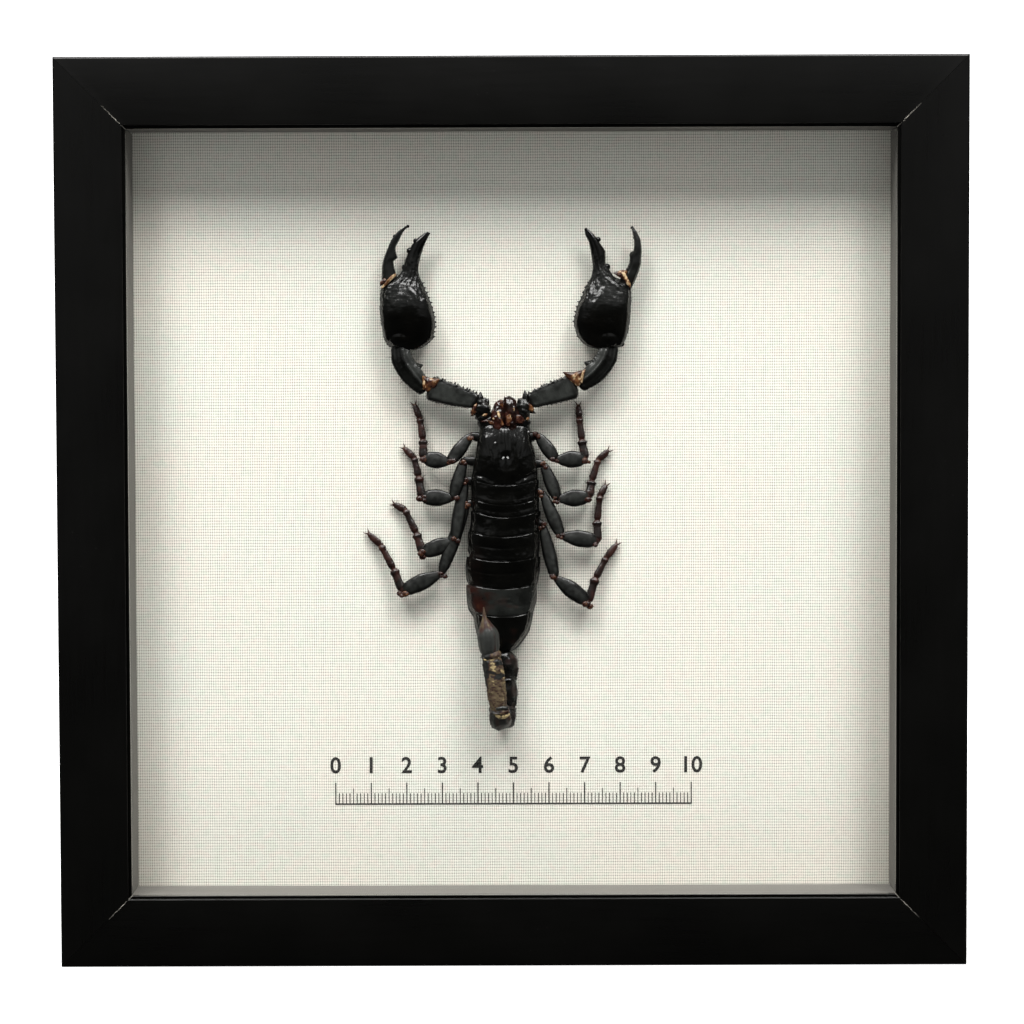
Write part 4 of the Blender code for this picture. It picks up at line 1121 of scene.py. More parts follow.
# Furrows and ridges of the back, as lines of across and up.
FRONT_FURROW = ((-2.1, 24.6), (-2.1, 19.0), (-1.9, 16.8))
REAR_FURROW = ((-1.5, 11.0), (-1.6, 7.4))
SIDE_FURROWS = (
    ((-6.2, 15.6), (-5.5, 13.4), (-4.6, 12.0), (-2.7, 11.3)),
    ((2.3, 14.8), (1.8, 12.8), (0.8, 11.8), (-0.6, 11.2)),
    ((-7.4, 20.6), (-6.8, 17.6), (-6.2, 15.6)),
    ((3.6, 20.4), (2.9, 17.4), (2.3, 14.8)),
)
REAR_RIDGES = (
    ((-9.7, 10.1), (-8.4, 9.9), (-7.2, 9.4), (-5.7, 8.5)),
    ((1.5, 8.4), (2.6, 9.1), (4.0, 9.6), (5.6, 10.4)),
)
PLATE_RIDGE = ((-1.0, -25.2), (1.6, -26.3), (4.6, -25.9))
SCARS = ((-3.6, -24.6), (-1.2, -24.5))


def trunk_rows():
    """Rows of the trunk from the front: place up, rise of the surface, bow of the row, and the plate."""
    rows = []
    front = TRUNK_FRONT
    for plate, (rear, bow) in enumerate((*REAR_EDGES, (TRUNK_END, 0.6))):
        length = front - rear
        before = REAR_EDGES[plate - 1][1] if plate else 0.0
        lengths = np.arange(0.0 if plate == 0 else 0.05, length - 1.6, ROW_GAP)
        close = length - np.array([1.6, 1.35, 1.1, 0.9, 0.72, 0.58, 0.44, 0.32, 0.2, 0.1, 0.03, 0.0])
        for distance in np.concatenate([lengths, close]):
            to_rear = length - distance
            share = distance / length
            lean = 0.0 if plate == 0 else -0.50 * (1 - mound(share, -0.05, 0.62))
            rim = 0.0 if rear == TRUNK_END else 0.22 * crest(to_rear - 0.34, 0.28)
            edge = -0.16 * (1 - mound(to_rear, -0.02, 0.16))
            middle = 0.15 * crest(share - 0.42, 0.045) if plate in (4, 5) else 0.0
            bowed = before + (bow - before) * share
            rows.append((front - distance, lean + rim + edge + middle, bowed, plate))
        if rear != TRUNK_END:
            rows.append((rear + 0.06, -0.34, bow, plate))
            rows.append((rear + 0.16, -0.50, bow, plate))
        front = rear + 0.22
    return rows


def trunk_net():
    """The trunk's skin with its plates, furrows and granules, in millimetres, and its marks."""
    rows = np.array(trunk_rows())
    ups, rise, bow, plate = rows.T

    def smoothed(table):
        at, values = np.array(table).T
        edge = np.interp(-ups, -at, values)
        return np.convolve(np.pad(edge, 2, mode="edge"), np.array([1, 2, 3, 2, 1]) / 9, mode="valid")

    left, right, top = (smoothed(table) for table in (LEFT_EDGE, RIGHT_EDGE, BACK_TOP))
    turns = np.linspace(0, 2 * pi, TRUNK_COLUMNS, endpoint=False) + pi / TRUNK_COLUMNS
    out, over = powered(np.cos(turns), 0.66), powered(np.sin(turns), 0.64)
    half, middle = ((right - left) / 2)[:, None], ((right + left) / 2)[:, None]
    side_lift = 0.42 * top[:, None]
    reach = np.where(over > 0, top[:, None] - side_lift, side_lift - 0.3)
    across = middle + half * out
    lift = side_lift + reach * over
    upper = mound(over, -0.05, 0.45)
    up = ups[:, None] + bow[:, None] * (out ** 2) * upper
    front = mound(up, 21.5, TRUNK_FRONT)
    up = up - 1.5 * crest(across + 2.1, 1.25) * front * upper
    grid = np.stack([across, up, lift + 0 * out], -1)
    normal = outward(grid)

    def near(line, width):
        return crest(line_distance(across, up, line), width)

    worn = np.stack([across / 3.4, plate[:, None] * 7.3 + 0 * across, 0 * across], -1)
    wear = 0.75 + 0.75 * soft_noise(worn, 1.0, 21)
    first_rear = np.where(plate == 0, 1.0, 0.0)[:, None] * mound(np.abs(across + 2.0), 1.6, 4.0)
    height = rise[:, None] * upper * (wear * (1 - 0.9 * first_rear) + 0.25 * first_rear)
    on_front = mound(ups[:, None], 5.0, 8.0) * upper
    height = height - 0.55 * near(FRONT_FURROW, 0.80) * on_front
    height = height + 0.20 * crest(np.hypot(across + 6.0, up - 22.2), 2.4) * on_front
    height = height + 0.20 * crest(np.hypot(across - 1.6, up - 22.4), 2.2) * on_front
    for furrow in SIDE_FURROWS:
        height = height - 0.075 * near(furrow, 0.42) * on_front
    for ridge in REAR_RIDGES:
        height = height + 0.42 * near(ridge, 0.60) * on_front
    for scar in SCARS:
        away = np.hypot(across - scar[0], up - scar[1])
        height = height + (0.13 * crest(away - 0.75, 0.28) - 0.12 * crest(away, 0.4)) * upper
    height = height + 0.10 * near(PLATE_RIDGE, 0.35) * upper
    height = height - 0.12 * near(REAR_FURROW, 0.40) * on_front
    eyes = np.hypot((across - EYE_PLACE[0]) / 1.25, (up - EYE_PLACE[1]) / 1.7)
    between_eyes = crest(across - EYE_PLACE[0], 0.22) * crest(eyes, 0.9)
    height = height + (0.55 * crest(eyes, 1.0) - 0.28 * between_eyes) * on_front
    wave = soft_noise(grid, 2.6, 11) * 0.10 + soft_noise(grid, 1.1, 12) * 0.045
    wave = wave + soft_noise(grid, 0.5, 13) * 0.02
    sides = mound(np.abs(out) + 0 * ups[:, None], 0.62, 0.95)
    rough_part = 0.35 + 0.65 * np.maximum(sides, mound(up, 20.0, 24.0))
    grains = granules(grid, 0.62, 14, 0.75) * 0.07 * rough_part
    height = height + (wave + grains) * upper
    lower_rim = crest(np.abs(np.abs(out) - 0.93) + 0 * up, 0.05) * 0.12 * (plate[:, None] > 0)
    grid = grid + normal * (height + lower_rim * upper)[..., None]
    tears = soft_noise(grid, 3.0, 15)
    filmed, last = plate[:, None] == FILMED_PLATE, plate[:, None] == LAST_PLATE
    film = 0.02 + 0.10 * mound(up, 20.5, 23.0) * upper + 0.42 * filmed + 0.03 * last
    film = np.clip(film * (1 + 0.7 * tears) + 0.10 * filmed * soft_noise(grid, 1.0, 16), 0.01, 1)
    brown = 0.10 * mound(-up, 5.0, 12.0) * mound(-across, 5.0, 10.0)
    brown = brown + 0.18 * last * mound(tears, 0.1, 0.6)
    brown = brown + 0.20 * crest(np.hypot((across + 9.6) / 1.8, (up + 25.0) / 3.0), 1.0)
    side_line = np.abs(np.abs(out) + 0 * up - 0.86)
    height = 0.16 * crest(side_line, 0.025) * last * upper
    grid = grid + normal * height[..., None]
    brown = brown + 0.16 * filmed * mound(tears + soft_noise(grid, 1.2, 17), 0.2, 0.9)
    brown = np.maximum(brown, 0.22 * (1 - upper) * mound(tears, -0.3, 0.3))
    brown = brown * upper
    film = np.clip(film * mound(over + 0 * up, 0.1, 0.5), 0.0, 1)
    dull = 0.12 * rough_part + 0.1 * last + 0.17 * mound(up, 20.0, 22.8)
    dull = dull + 1.5 * (1 - mound(over + 0 * up, 0.05, 0.55))
    return grid, brown, film, dull


def build_trunk(finish):
    """Carapace with its eyes and the seven overlapping back plates, closed by a belly."""
    skin = Skin()
    grid, brown, film, dull = trunk_net()
    centre_first = grid[0].mean(0)
    centre_last = grid[-1].mean(0)
    first = [centre_first + (grid[0] - centre_first) * size + np.array([0, drop, 0])
             for size, drop in ((0.25, 0.34), (0.6, 0.30), (0.85, 0.18))]
    last = [centre_last + (grid[-1] - centre_last) * size - np.array([0, drop, 0])
            for size, drop in ((0.9, 0.25), (0.7, 0.45), (0.35, 0.55))]
    whole = np.concatenate([first, grid, last])

    def ends(mark):
        mark = np.broadcast_to(mark, grid.shape[:2])
        return np.concatenate([np.repeat(mark[:1], 3, 0), mark, np.repeat(mark[-1:], 3, 0)])

    add_piece(skin, whole, ends(brown), ends(film), ends(dull))
    for lens in LENSES:
        add_lens(skin, *lens)
    for side, across in ((-1, -8.3), (1, 4.4)):
        for number in range(3):
            bead(skin, (across - side * number * 0.45, 23.6 - number * 0.62, 6.35), 0.22)
    return skin.build("scorpion_trunk", finish, "shell", ["scorpion_body"], sharp=70)


def ball_net(rows, columns, cut):
    """A ball of radius 1, cut open at both poles by an angle."""
    turns = np.linspace(0, 2 * pi, columns, endpoint=False)
    heights = np.linspace(-pi / 2 + cut, pi / 2 - cut, rows)[:, None]
    across, up = -np.cos(heights) * np.cos(turns), np.cos(heights) * np.sin(turns)
    return np.stack([across, up, np.sin(heights) + 0 * turns], -1)[::-1]


def bead(skin, centre, radius):
    """A small round bead."""
    add_piece(skin, ball_net(9, 14, 0.2) * radius + np.array(centre), dull=-0.4)


def add_lens(skin, centre, way, radius, curve):
    """A shallow glossy lens that faces a way; curve is the radius of its bulge."""
    centre, way = np.asarray(centre, float), unit(np.asarray(way, float))
    side = unit(np.cross(way, np.array([0.0, 1.0, 0.0])))
    rise = np.cross(side, way)
    reach = np.array([0.5, 0.95, 1.0, 0.85, 0.65, 0.45, 0.25, 0.08]) * radius
    along = (radius ** 2 - reach ** 2) / (2 * curve)
    along[:2] = (-0.6 * radius, -0.15 * radius)
    add_piece(skin, rings(centre + way * along[:, None], side, rise, reach, 16), dull=-0.1)


def build_mouthparts(finish):
    """Two mottled biting pieces with toothed tips, the pale skin round them and near-cream patches painted as
    glints.
    """
    skin = Skin()
    for number, stations in enumerate(MOUTHPARTS):
        grid = sweep(stations, 44, 48, full=(0.9, 0.85))[0]
        normal = outward(grid)
        blotch = soft_noise(grid, 1.5, 31 + number)
        height = soft_noise(grid, 0.9, 33 + number) * 0.22 + soft_noise(grid, 0.45, 35 + number) * 0.08
        grid = grid + normal * height[..., None]
        brown = 0.16 + 0.20 * mound(blotch, -0.1, 0.55)
        add_piece(skin, grid, brown, 0.0, -0.10)
        tip = stations[-1]
        for away, length in ((-0.6, 0.9), (0.5, 0.7)):
            foot = (tip[0] + away, tip[1] - 0.5, tip[2] + 0.6)
            add_spike(skin, foot, (away * 0.25, 1.0, 0.3), length, 0.5, brown=0.15)
    for number, (outline, lift, dome, brown) in enumerate(MOUTH_SKIN_AND_GLINTS):
        add_patch(skin, outline, lift, dome, brown, 330 + number, dull=0.0)
    return skin.build("scorpion_mouthparts", finish, "shell", sharp=70)


def membrane(skin, place, size, brown, seed, stretch=(1.0, 1.0, 0.7), mottling=0.16):
    """A crumpled lump of dried skin."""
    ball = ball_net(18, 30, 0.12)
    wrinkle = 1 + 0.16 * soft_noise(ball * 2.0, 0.55, seed) + 0.10 * soft_noise(ball * 2.0, 0.24, seed + 1)
    shaped = ball * wrinkle[..., None] * size * np.array(stretch)
    mottled = brown + mottling * soft_noise(ball * 2.0, 0.5, seed + 2)
    add_piece(skin, shaped + np.array(place), mottled)


def add_patch(skin, outline, lift, dome, brown, seed, film=0.0, dull=0.1):
    """Dried skin over an outline of (across, up) places, domed up from a lift off the linen; on the
    mouthparts some patches are painted glints.
    """
    corners = np.array(outline, float)
    following = np.roll(corners, -1, axis=0)
    if np.sum(corners[:, 0] * following[:, 1] - corners[:, 1] * following[:, 0]) > 0:
        corners = corners[::-1]
    closed = np.concatenate([corners, corners[:1]])
    at = np.concatenate([[0.0], np.cumsum(np.linalg.norm(np.diff(closed, axis=0), axis=1))])
    wanted = np.linspace(0, at[-1], 44, endpoint=False)
    ring = np.stack([np.interp(wanted, at, closed[:, 0]), np.interp(wanted, at, closed[:, 1])], -1)
    ring = (np.roll(ring, 1, 0) + 2 * ring + np.roll(ring, -1, 0)) / 4
    middle = ring.mean(0)
    turns = np.linspace(0.12, pi - 0.2, 16)[:, None]
    grid = np.zeros((16, 44, 3))
    grid[..., :2] = middle + (ring - middle) * np.sin(turns)[..., None] ** 0.8
    rise = np.cos(turns) + 0 * ring[:, 0]
    crease = soft_noise(grid, 0.8, seed) * 0.16 + soft_noise(grid, 0.35, seed + 1) * 0.10
    grid[..., 2] = lift + np.where(rise > 0, rise * dome, rise * 0.6) + crease * mound(rise, -0.3, 0.4)
    mottling = 0.34 * soft_noise(grid, 0.9, seed + 2) + 0.26 * soft_noise(grid, 0.4, seed + 3)
    add_piece(skin, grid, np.clip(brown + mottling * (brown > 0), 0, 1), film, dull)


# Shape of each leg piece: shares along it and widths there, the film on it, and rows and columns.
LEG_SHAPES = (
    (((0, 0.60), (0.5, 0.66), (1, 0.46)), 0.00, 22, 24),
    (((0, 0.45), (0.2, 0.76), (0.6, 1.00), (0.88, 0.82), (1, 0.52)), 0.57, 44, 32),
    (((0, 0.34), (0.16, 0.62), (0.5, 1.00), (0.80, 0.88), (1, 0.48)), 0.53, 44, 32),
    (((0, 0.66), (0.2, 0.98), (0.7, 0.84), (0.9, 1.08), (1, 0.74)), 0.06, 34, 24),
    (((0, 0.60), (0.2, 1.02), (0.75, 0.80), (0.92, 1.04), (1, 0.66)), 0.03, 34, 22),
    (((0, 0.70), (0.35, 1.06), (0.8, 0.84), (1, 0.42)), 0.00, 28, 20),
)

# Brown of each leg piece at its ends and all over, and its number of hairs.
LEG_BROWNS = ((0.20, 0.0), (0.10, 0.0), (0.24, 0.04), (0.20, 0.13), (0.22, 0.18), (0.25, 0.22))
LEG_HAIRS = (2, 5, 6, 7, 10, 14)


def add_leg(skin, hairs, joints, seed):
    """One leg: six pieces with granular edges, brown knees, two claws, two spurs and hairs."""
    rng = np.random.default_rng(seed)
    joints = np.column_stack([joints, LEG_LIFTS])
    for number, (widths, film, rows, columns) in enumerate(LEG_SHAPES):
        start, end = joints[number], joints[number + 1]
        half_width, half_height = LEG_PIECES[number]
        stations = []
        for share, width in widths:
            place = start + (end - start) * share
            stations.append((*place, half_width * width, half_height * (0.25 + 0.75 * width)))
        grid, share, turns = sweep(stations, rows, columns, full=(0.76, 0.62), overhang=0.45)
        normal = outward(grid)
        bumps = granules(grid, 0.42, seed + number, 0.7) * (0.035 if number < 3 else 0.07)
        ridges = sum(keel(turns, place, 11) for place in (32, 90, 148)) * (0.09 if number in (1, 2) else 0.05)
        teeth = (keel(turns, 0, 14) + keel(turns, 180, 14)) * granules(grid, 0.55, seed + 20 + number) * 0.13
        worn = soft_noise(grid, 1.3, seed + 40 + number)
        fade = mound(share, 0.0, 0.15) * mound(share, 1.0, 0.88)
        grid = grid + normal * ((bumps + ridges + teeth) * fade + worn * 0.05)[..., None]
        knee = np.maximum(mound(share, 0.13, 0.0), mound(share, 0.90, 1.0))
        ends_brown, all_brown = LEG_BROWNS[number]
        brown = knee * ends_brown + all_brown + 0.14 * mound(worn, 0.1, 0.6) * (number > 2)
        flat_top = mound(np.sin(turns), 0.74, 0.97)
        patchy = 0.80 + 0.70 * soft_noise(grid, 0.8, seed + 70 + number)
        film_part = film * (0.04 + 0.96 * flat_top) * (1 - knee) * patchy + worn * 0.05
        add_piece(skin, grid, brown, np.clip(film_part, 0, 1), 0.05 + 0.25 * flat_top * (number < 3))
        way = (end - start) / np.linalg.norm(end - start)
        side = np.cross(way, OFF_LINEN)
        for hair in range(LEG_HAIRS[number]):
            share = rng.uniform(0.1, 0.98)
            sign = rng.choice((-1, 1))
            width = np.interp(share, *np.array(widths).T) * half_width
            foot = start + (end - start) * share + side * sign * width * 0.9
            foot = foot + OFF_LINEN * rng.uniform(-0.2, 0.6)
            aim = side * sign + way * rng.uniform(0.2, 1.2) + OFF_LINEN * rng.uniform(-0.2, 0.5)
            add_hair(hairs, foot, aim, rng.uniform(0.5, 1.3) * (1.0 if number > 2 else 0.7), rng)
        if number in (0, 1, 2):
            disc = end + OFF_LINEN * (half_height * 0.75) - side * np.sign(side[1] + 0.01) * half_width * 0.2
            for lump in range(3):
                off = rng.uniform(-1, 1, 3) * half_width * np.array((0.42, 0.42, 0.12))
                membrane(skin, disc + off, half_width * rng.uniform(0.24, 0.44), rng.uniform(0.22, 0.50),
                         seed + number + lump, stretch=(1, 0.8, 0.45), mottling=0.34)
    tip, way = joints[-1], joints[-1] - joints[-2]
    way = way / np.linalg.norm(way)
    side = np.cross(way, OFF_LINEN)
    for sign in (-1, 1):
        aim = way + side * sign * 0.55
        add_spike(skin, tip + side * sign * 0.3, aim, 1.5, 0.24, brown=0.45, bend=0.35)
    for sign in (-1, 1):
        add_spike(skin, joints[-2] + side * sign * 0.7, way + side * sign * 0.5, 0.9, 0.16, brown=0.4)


def add_hair(skin, foot, way, length, rng):
    """A fine bent hair with three sides."""
    length = length * specimen_sizes().hair_length / MM
    way = unit(np.asarray(way, float))
    bend = unit(rng.normal(size=3)) * 0.25
    shares = np.array([0.0, 0.4, 0.75, 1.0])
    centres = np.asarray(foot) + way * (length * shares)[:, None] + bend * (length * shares ** 2)[:, None]
    side, rise = beside(way)
    widths = 0.045 * np.array([1.0, 0.8, 0.5, 0.12])
    add_piece(skin, rings(centres, side, rise, widths, 3), brown=0.30, dull=0.3)


def build_legs(finish, hair_finish):
    """The four legs of each side, and their hairs."""
    pieces = []
    for side in ("left", "right"):
        skin, hairs = Skin(), Skin()
        for number in range(1, 5):
            add_leg(skin, hairs, LEGS[f"{side}_{number}"], 100 * number + (7 if side == "left" else 53))
        pieces.append(skin.build(f"scorpion_{side}_legs", finish, "shell", sharp=70))
        pieces.append(hairs.build(f"scorpion_{side}_leg_hairs", hair_finish, "shell"))
    return pieces


def claw_net(levels, rows, columns):
    """A claw piece through level sections: its net of points and the turn round it for each."""
    levels = np.asarray(levels, float)
    shares = np.linspace(0.0, 1.0, rows)
    at = (levels[:, 0] - levels[0, 0]) / (levels[-1, 0] - levels[0, 0])
    line = through(at, levels, shares)
    turns = np.linspace(0, 2 * pi, columns, endpoint=False)
    out, over = powered(np.cos(turns), 0.78), powered(np.sin(turns), 0.74)
    across = ((line[:, 1] + line[:, 2]) / 2)[:, None] - ((line[:, 2] - line[:, 1]) / 2)[:, None] * out
    up = line[:, 0:1] + 0 * turns
    lift = HAND_LIFT + line[:, 3:4] * over
    grid = np.stack([across, up, lift], -1)
    return grid[:, ::-1], turns[::-1][None] + 0 * shares[:, None]


def add_claw(skin, hairs, side, arm, seed):
    """Hand with its fixed finger and the movable finger, with lobes, edge teeth and hairs."""
    rng = np.random.default_rng(seed)
    sign = -1 if side == "left" else 1
    hand_levels, finger_levels = np.array(arm["hand"]), np.array(arm["finger"])
    grid = claw_net(hand_levels, 150, 92)[0]
    normal = outward(grid)
    across, up = grid[..., 0], grid[..., 1]
    top = mound(normal[..., 2], 0.0, 0.5)
    left, right = (np.interp(up, hand_levels[:, 0], hand_levels[:, column]) for column in (1, 2))
    fan = (across - (left + right) / 2) / np.maximum(right - left, 0.8)
    lines = soft_noise(np.stack([fan * 19.0, up / 3.0, 0 * up], -1), 1.0, seed)
    fine_lines = soft_noise(np.stack([fan * 34.0, up / 1.2, 0 * up], -1), 1.0, seed + 1)
    toward_fingers = mound(up, 53.5, 60.5) * mound(up, 73.0, 67.0)
    height = (0.19 * lines + 0.13 * fine_lines) * top * toward_fingers
    height = height + granules(grid, 0.62, seed + 1, 0.7) * 0.13 * top * toward_fingers
    height = height + granules(grid, 0.8, seed + 2, 0.35) * 0.035 * mound(up, 60.0, 52.0)
    height = height + soft_noise(grid, 3.4, seed + 3) * 0.10 + soft_noise(grid, 0.9, seed + 4) * 0.012
    knuckle = np.hypot((across - (29.0 * sign - 2.3)) / 2.2, (up - 47.4) / 1.6)
    height = height + (0.28 * crest(knuckle, 0.8) - 0.20 * crest(knuckle - 1.35, 0.30)) * top
    rim = mound(np.abs(normal[..., 2]), 0.55, 0.15) * mound(up, 68.0, 64.0)
    height = height + granules(grid, 0.9, seed + 5, 0.9) * 0.22 * rim
    grid = grid + normal * height[..., None]
    film = 0.03 * soft_noise(grid, 4.0, seed + 6) + 0.14 * toward_fingers
    dull = 0.18 * toward_fingers - 0.14 * (1 - toward_fingers) * mound(top, 0.5, 1.0)
    dull = dull + 1.5 * (1 - mound(top, 0.2, 0.9))
    add_piece(skin, closed_ends(grid), 0.0, spread(np.clip(film, 0, 1), grid), spread(dull, grid))

    finger, turns = claw_net(finger_levels, 90, 56)
    normal = outward(finger)
    height = soft_noise(finger, 1.6, seed + 9) * 0.07
    height = height + 0.16 * keel(turns, 78, 13) + 0.10 * keel(turns, 125, 11)
    finger = finger + normal * height[..., None]
    brown = 0.12 * mound(finger[..., 1], 66.5, 64.0)
    add_piece(skin, closed_ends(finger), spread(brown, finger), 0.16, 0.15)

    for levels in (hand_levels, finger_levels):
        bead(skin, ((levels[-1, 1] + levels[-1, 2]) / 2, levels[-1, 0] - 0.20, HAND_LIFT), 0.48)
    for across, up, radius in arm["lobes"]:
        bead(skin, (across, up, HAND_LIFT), radius)
    toothed = 2 if side == "left" else 1
    for up in np.arange(48.6, 64.0, 1.35):
        across = np.interp(up, hand_levels[:, 0], hand_levels[:, toothed])
        foot = (across + 0.05 * sign, up, HAND_LIFT + rng.uniform(-0.2, 0.4))
        aim = (-sign, rng.uniform(0.0, 0.5), 0.1)
        add_spike(skin, foot, aim, rng.uniform(0.45, 0.85), 0.40, sides=6)
    for number in range(26):
        levels = finger_levels if number % 2 else hand_levels
        up = rng.uniform(56.0, levels[-1, 0] - 1.0)
        up = max(up, levels[0, 0] + 0.3)
        column = rng.choice((1, 2))
        across = np.interp(up, levels[:, 0], levels[:, column])
        aim = (1 if column == 2 else -1, rng.uniform(0.2, 0.9), rng.uniform(-0.1, 0.5))
        foot = (across, up, HAND_LIFT + rng.uniform(-0.3, 0.8))
        add_hair(hairs, foot, aim, rng.uniform(0.5, 1.1), rng)


def closed_ends(grid):
    """Draw a net in at both ends so that it closes softly."""
    first, last = grid[0].mean(0), grid[-1].mean(0)
    start = [first + (grid[0] - first) * size for size in (0.3, 0.75)]
    end = [last + (grid[-1] - last) * size for size in (0.7, 0.25)]
    return np.concatenate([start, grid, end])


def spread(mark, grid):
    """A mark for a net with softly closed ends."""
    mark = np.broadcast_to(mark, grid.shape[:2])
    return np.concatenate([np.repeat(mark[:1], 2, 0), mark, np.repeat(mark[-1:], 2, 0)])


def add_limb_spines(skin, rng, start, end, count, way, size, radius):
    """A row of uneven teeth along a line of the shell."""
    start, end = np.array(start), np.array(end)
    for step in range(count):
        place = start + (end - start) * (step + rng.uniform(0.2, 0.8)) / count
        add_spike(skin, place, np.array(way) + rng.normal(size=3) * 0.18, size * rng.uniform(0.55, 1.35),
                  radius * rng.uniform(0.8, 1.2), sides=6)


# Limb pieces of an arm: rows, columns, squareness and film.
ARM_SHAPES = (
    ("coxa", 26, 36, (0.9, 0.8), 0.05),
    ("trochanter", 40, 48, (0.95, 0.9), 0.06),
    ("femur", 84, 64, (0.62, 0.50), 0.85),
    ("patella", 84, 72, (0.72, 0.62), 0.85),
)
ARM_HAIRS = (("femur", 26), ("patella", 20), ("trochanter", 10))


def build_arm(side, finish, hair_finish):
    """One arm from its hip piece to the claw, with its teeth, joint skin and hairs."""
    arm = ARMS[side]
    sign = -1 if side == "left" else 1
    seed = 700 if side == "left" else 900
    rng = np.random.default_rng(seed)
    skin, hairs = Skin(), Skin()
    for number, (piece, rows, columns, full, film) in enumerate(ARM_SHAPES):
        grid, share, turns = sweep(arm[piece], rows, columns, full=full)
        normal = outward(grid)
        ridges = sum(keel(turns, place, 7) for place in (34, 146)) * (0.34 if number > 1 else 0.12)
        ridges = ridges * (0.45 + 0.8 * granules(grid, 0.7, seed + number, 0.85))
        middle_keel = 86 if side == "left" else 94
        if piece == "patella":
            ridges = ridges + 0.42 * keel(turns, middle_keel, 6) - 0.26 * keel(turns, 180 - middle_keel, 20)
        hollow = keel(turns, 90, 34) * (0.22 if piece == "femur" else 0.0)
        lumps = granules(grid, 1.5, seed + 60, 0.9) * 0.40 - 0.15 if piece == "trochanter" else 0.0
        wave = soft_noise(grid, 1.6, seed + 10 + number) * 0.08 + soft_noise(grid, 0.6, seed + 20) * 0.025
        wave = wave + lumps
        fine = granules(grid, 0.42, seed + 30 + number, 0.6) * 0.04
        fade = mound(share, 0.0, 0.08) * mound(share, 1.0, 0.93)
        grid = grid + normal * ((ridges - hollow) * fade + wave + fine)[..., None]
        joint = np.maximum(mound(share, 0.07, 0.0), mound(share, 0.95, 1.0))
        cloud = soft_noise(grid, 2.5, seed + 40)
        brown = 0.08 * joint if number > 1 else 0.12 * mound(cloud, 0.2, 0.7)
        flat_top = mound(np.sin(turns), 0.70, 0.92) * mound(share, 0.02, 0.10)
        if piece == "patella":
            inner_side = np.cos(turns) * -sign
            flat_top = mound(np.sin(turns), 0.25, 0.60) * mound(inner_side, 0.04, 0.16)
            # Painted highlight: a thin grey line of film along the patella's outer margin.
            flat_top = flat_top + 0.5 * crest(inner_side + 0.55, 0.05) * mound(share, 0.1, 0.4)
        film = film * (0.15 + 0.85 * flat_top) if number > 1 else film
        patchy = 0.80 + 0.40 * cloud + 0.35 * soft_noise(grid, 0.9, seed + 44)
        shine = 0.28 if number < 3 else -0.06 + 0.34 * flat_top
        add_piece(skin, grid, brown, np.clip(film * patchy * (1 - 0.5 * joint), 0, 1), shine)
    add_claw(skin, hairs, side, arm, seed + 50)

    foot, tip = (np.array(place) for place in arm["spur"])
    add_spike(skin, foot, tip - foot, np.linalg.norm(tip - foot), 1.9, sides=16, film=0.4)
    for foot, tip, radius in arm["shoulder_spikes"]:
        foot, tip = np.array(foot), np.array(tip)
        add_spike(skin, foot, tip - foot, np.linalg.norm(tip - foot) * 1.05, radius, sides=12, brown=0.04)
    for one, two in zip(arm["femur"], arm["femur"][1:]):
        one, two = np.array(one), np.array(two)
        way = unit(two[:3] - one[:3])
        up_side = np.cross(way, OFF_LINEN)
        up_side = up_side * np.sign(up_side[1])
        for side_way, size, lift in ((up_side, 0.66, 0.5), (-up_side, 0.36, 0.2)):
            edge = [item[:3] + side_way * item[3] * 0.96 + OFF_LINEN * lift for item in (one, two)]
            add_limb_spines(skin, rng, edge[0], edge[1], 7, side_way + OFF_LINEN * 0.15, size, 0.42)
    for one, two in zip(arm["patella"], arm["patella"][1:]):
        one, two = np.array(one), np.array(two)
        way = unit(two[:3] - one[:3])
        across = np.cross(way, OFF_LINEN) * (-sign)
        add_limb_spines(skin, rng, one[:3] + across * one[3] * 0.9, two[:3] + across * two[3] * 0.9, 3,
                        across, 0.20, 0.30)
    membrane(skin, arm["knob"], 0.80, 0.0, seed + 3)
    for group in ("shoulder_skin", "elbow_skin", "claw_skin"):
        for number, (outline, lift, dome, brown) in enumerate(arm[group]):
            add_patch(skin, outline, lift, dome, brown, seed + 5 + number)
    for piece, count in ARM_HAIRS:
        stations = np.array(arm[piece])
        for number in range(count):
            share = rng.uniform(0, 1) * (len(stations) - 1)
            index = min(int(share), len(stations) - 2)
            place = stations[index] + (stations[index + 1] - stations[index]) * (share - index)
            way = unit(stations[index + 1][:3] - stations[index][:3])
            side_way = np.cross(way, OFF_LINEN) * rng.choice((-1, 1))
            aim = side_way + way * rng.uniform(-0.4, 0.8) + OFF_LINEN * rng.uniform(-0.1, 0.6)
            add_hair(hairs, place[:3] + side_way * place[3] * 0.95, aim, rng.uniform(0.5, 1.6), rng)
    return [
        skin.build(f"scorpion_{side}_arm_shell", finish, "shell", [f"scorpion_{side}_arm"], sharp=70),
        hairs.build(f"scorpion_{side}_arm_hairs", hair_finish, "shell"),
    ]


# Dried skin at the tail's fold: outline, lift, dome, share of brown to cream, and film.
TAIL_SKIN = ( (((-4.9, -54.2), (-3.0, -53.7), (-1.2, -53.9), (-1.3, -54.6), (-3.0, -54.8), (-4.8, -54.9)),
    11.9, 0.6, 0.0, 1.0), (((-4.6, -54.9), (-1.3, -54.6), (-1.1, -55.6), (-2.4, -56.6), (-4.2, -56.1)),
    11.5, 0.7, 0.40, 0.0), (((-5.8, -55.4), (-5.1, -55.7), (-3.7, -56.7), (-2.2, -56.6), (-1.1, -55.7),
    (-0.8, -56.2), (-2.1, -57.4), (-3.9, -57.5), (-5.6, -56.3)), 11.3, 0.6, 0.86, 0.0), (((-8.3, -40.5),
    (-6.2, -40.9), (-4.0, -40.0), (-3.7, -40.5), (-6.1, -41.5), (-8.2, -41.1)), 12.1, 0.4, 0.74, 0.0), )

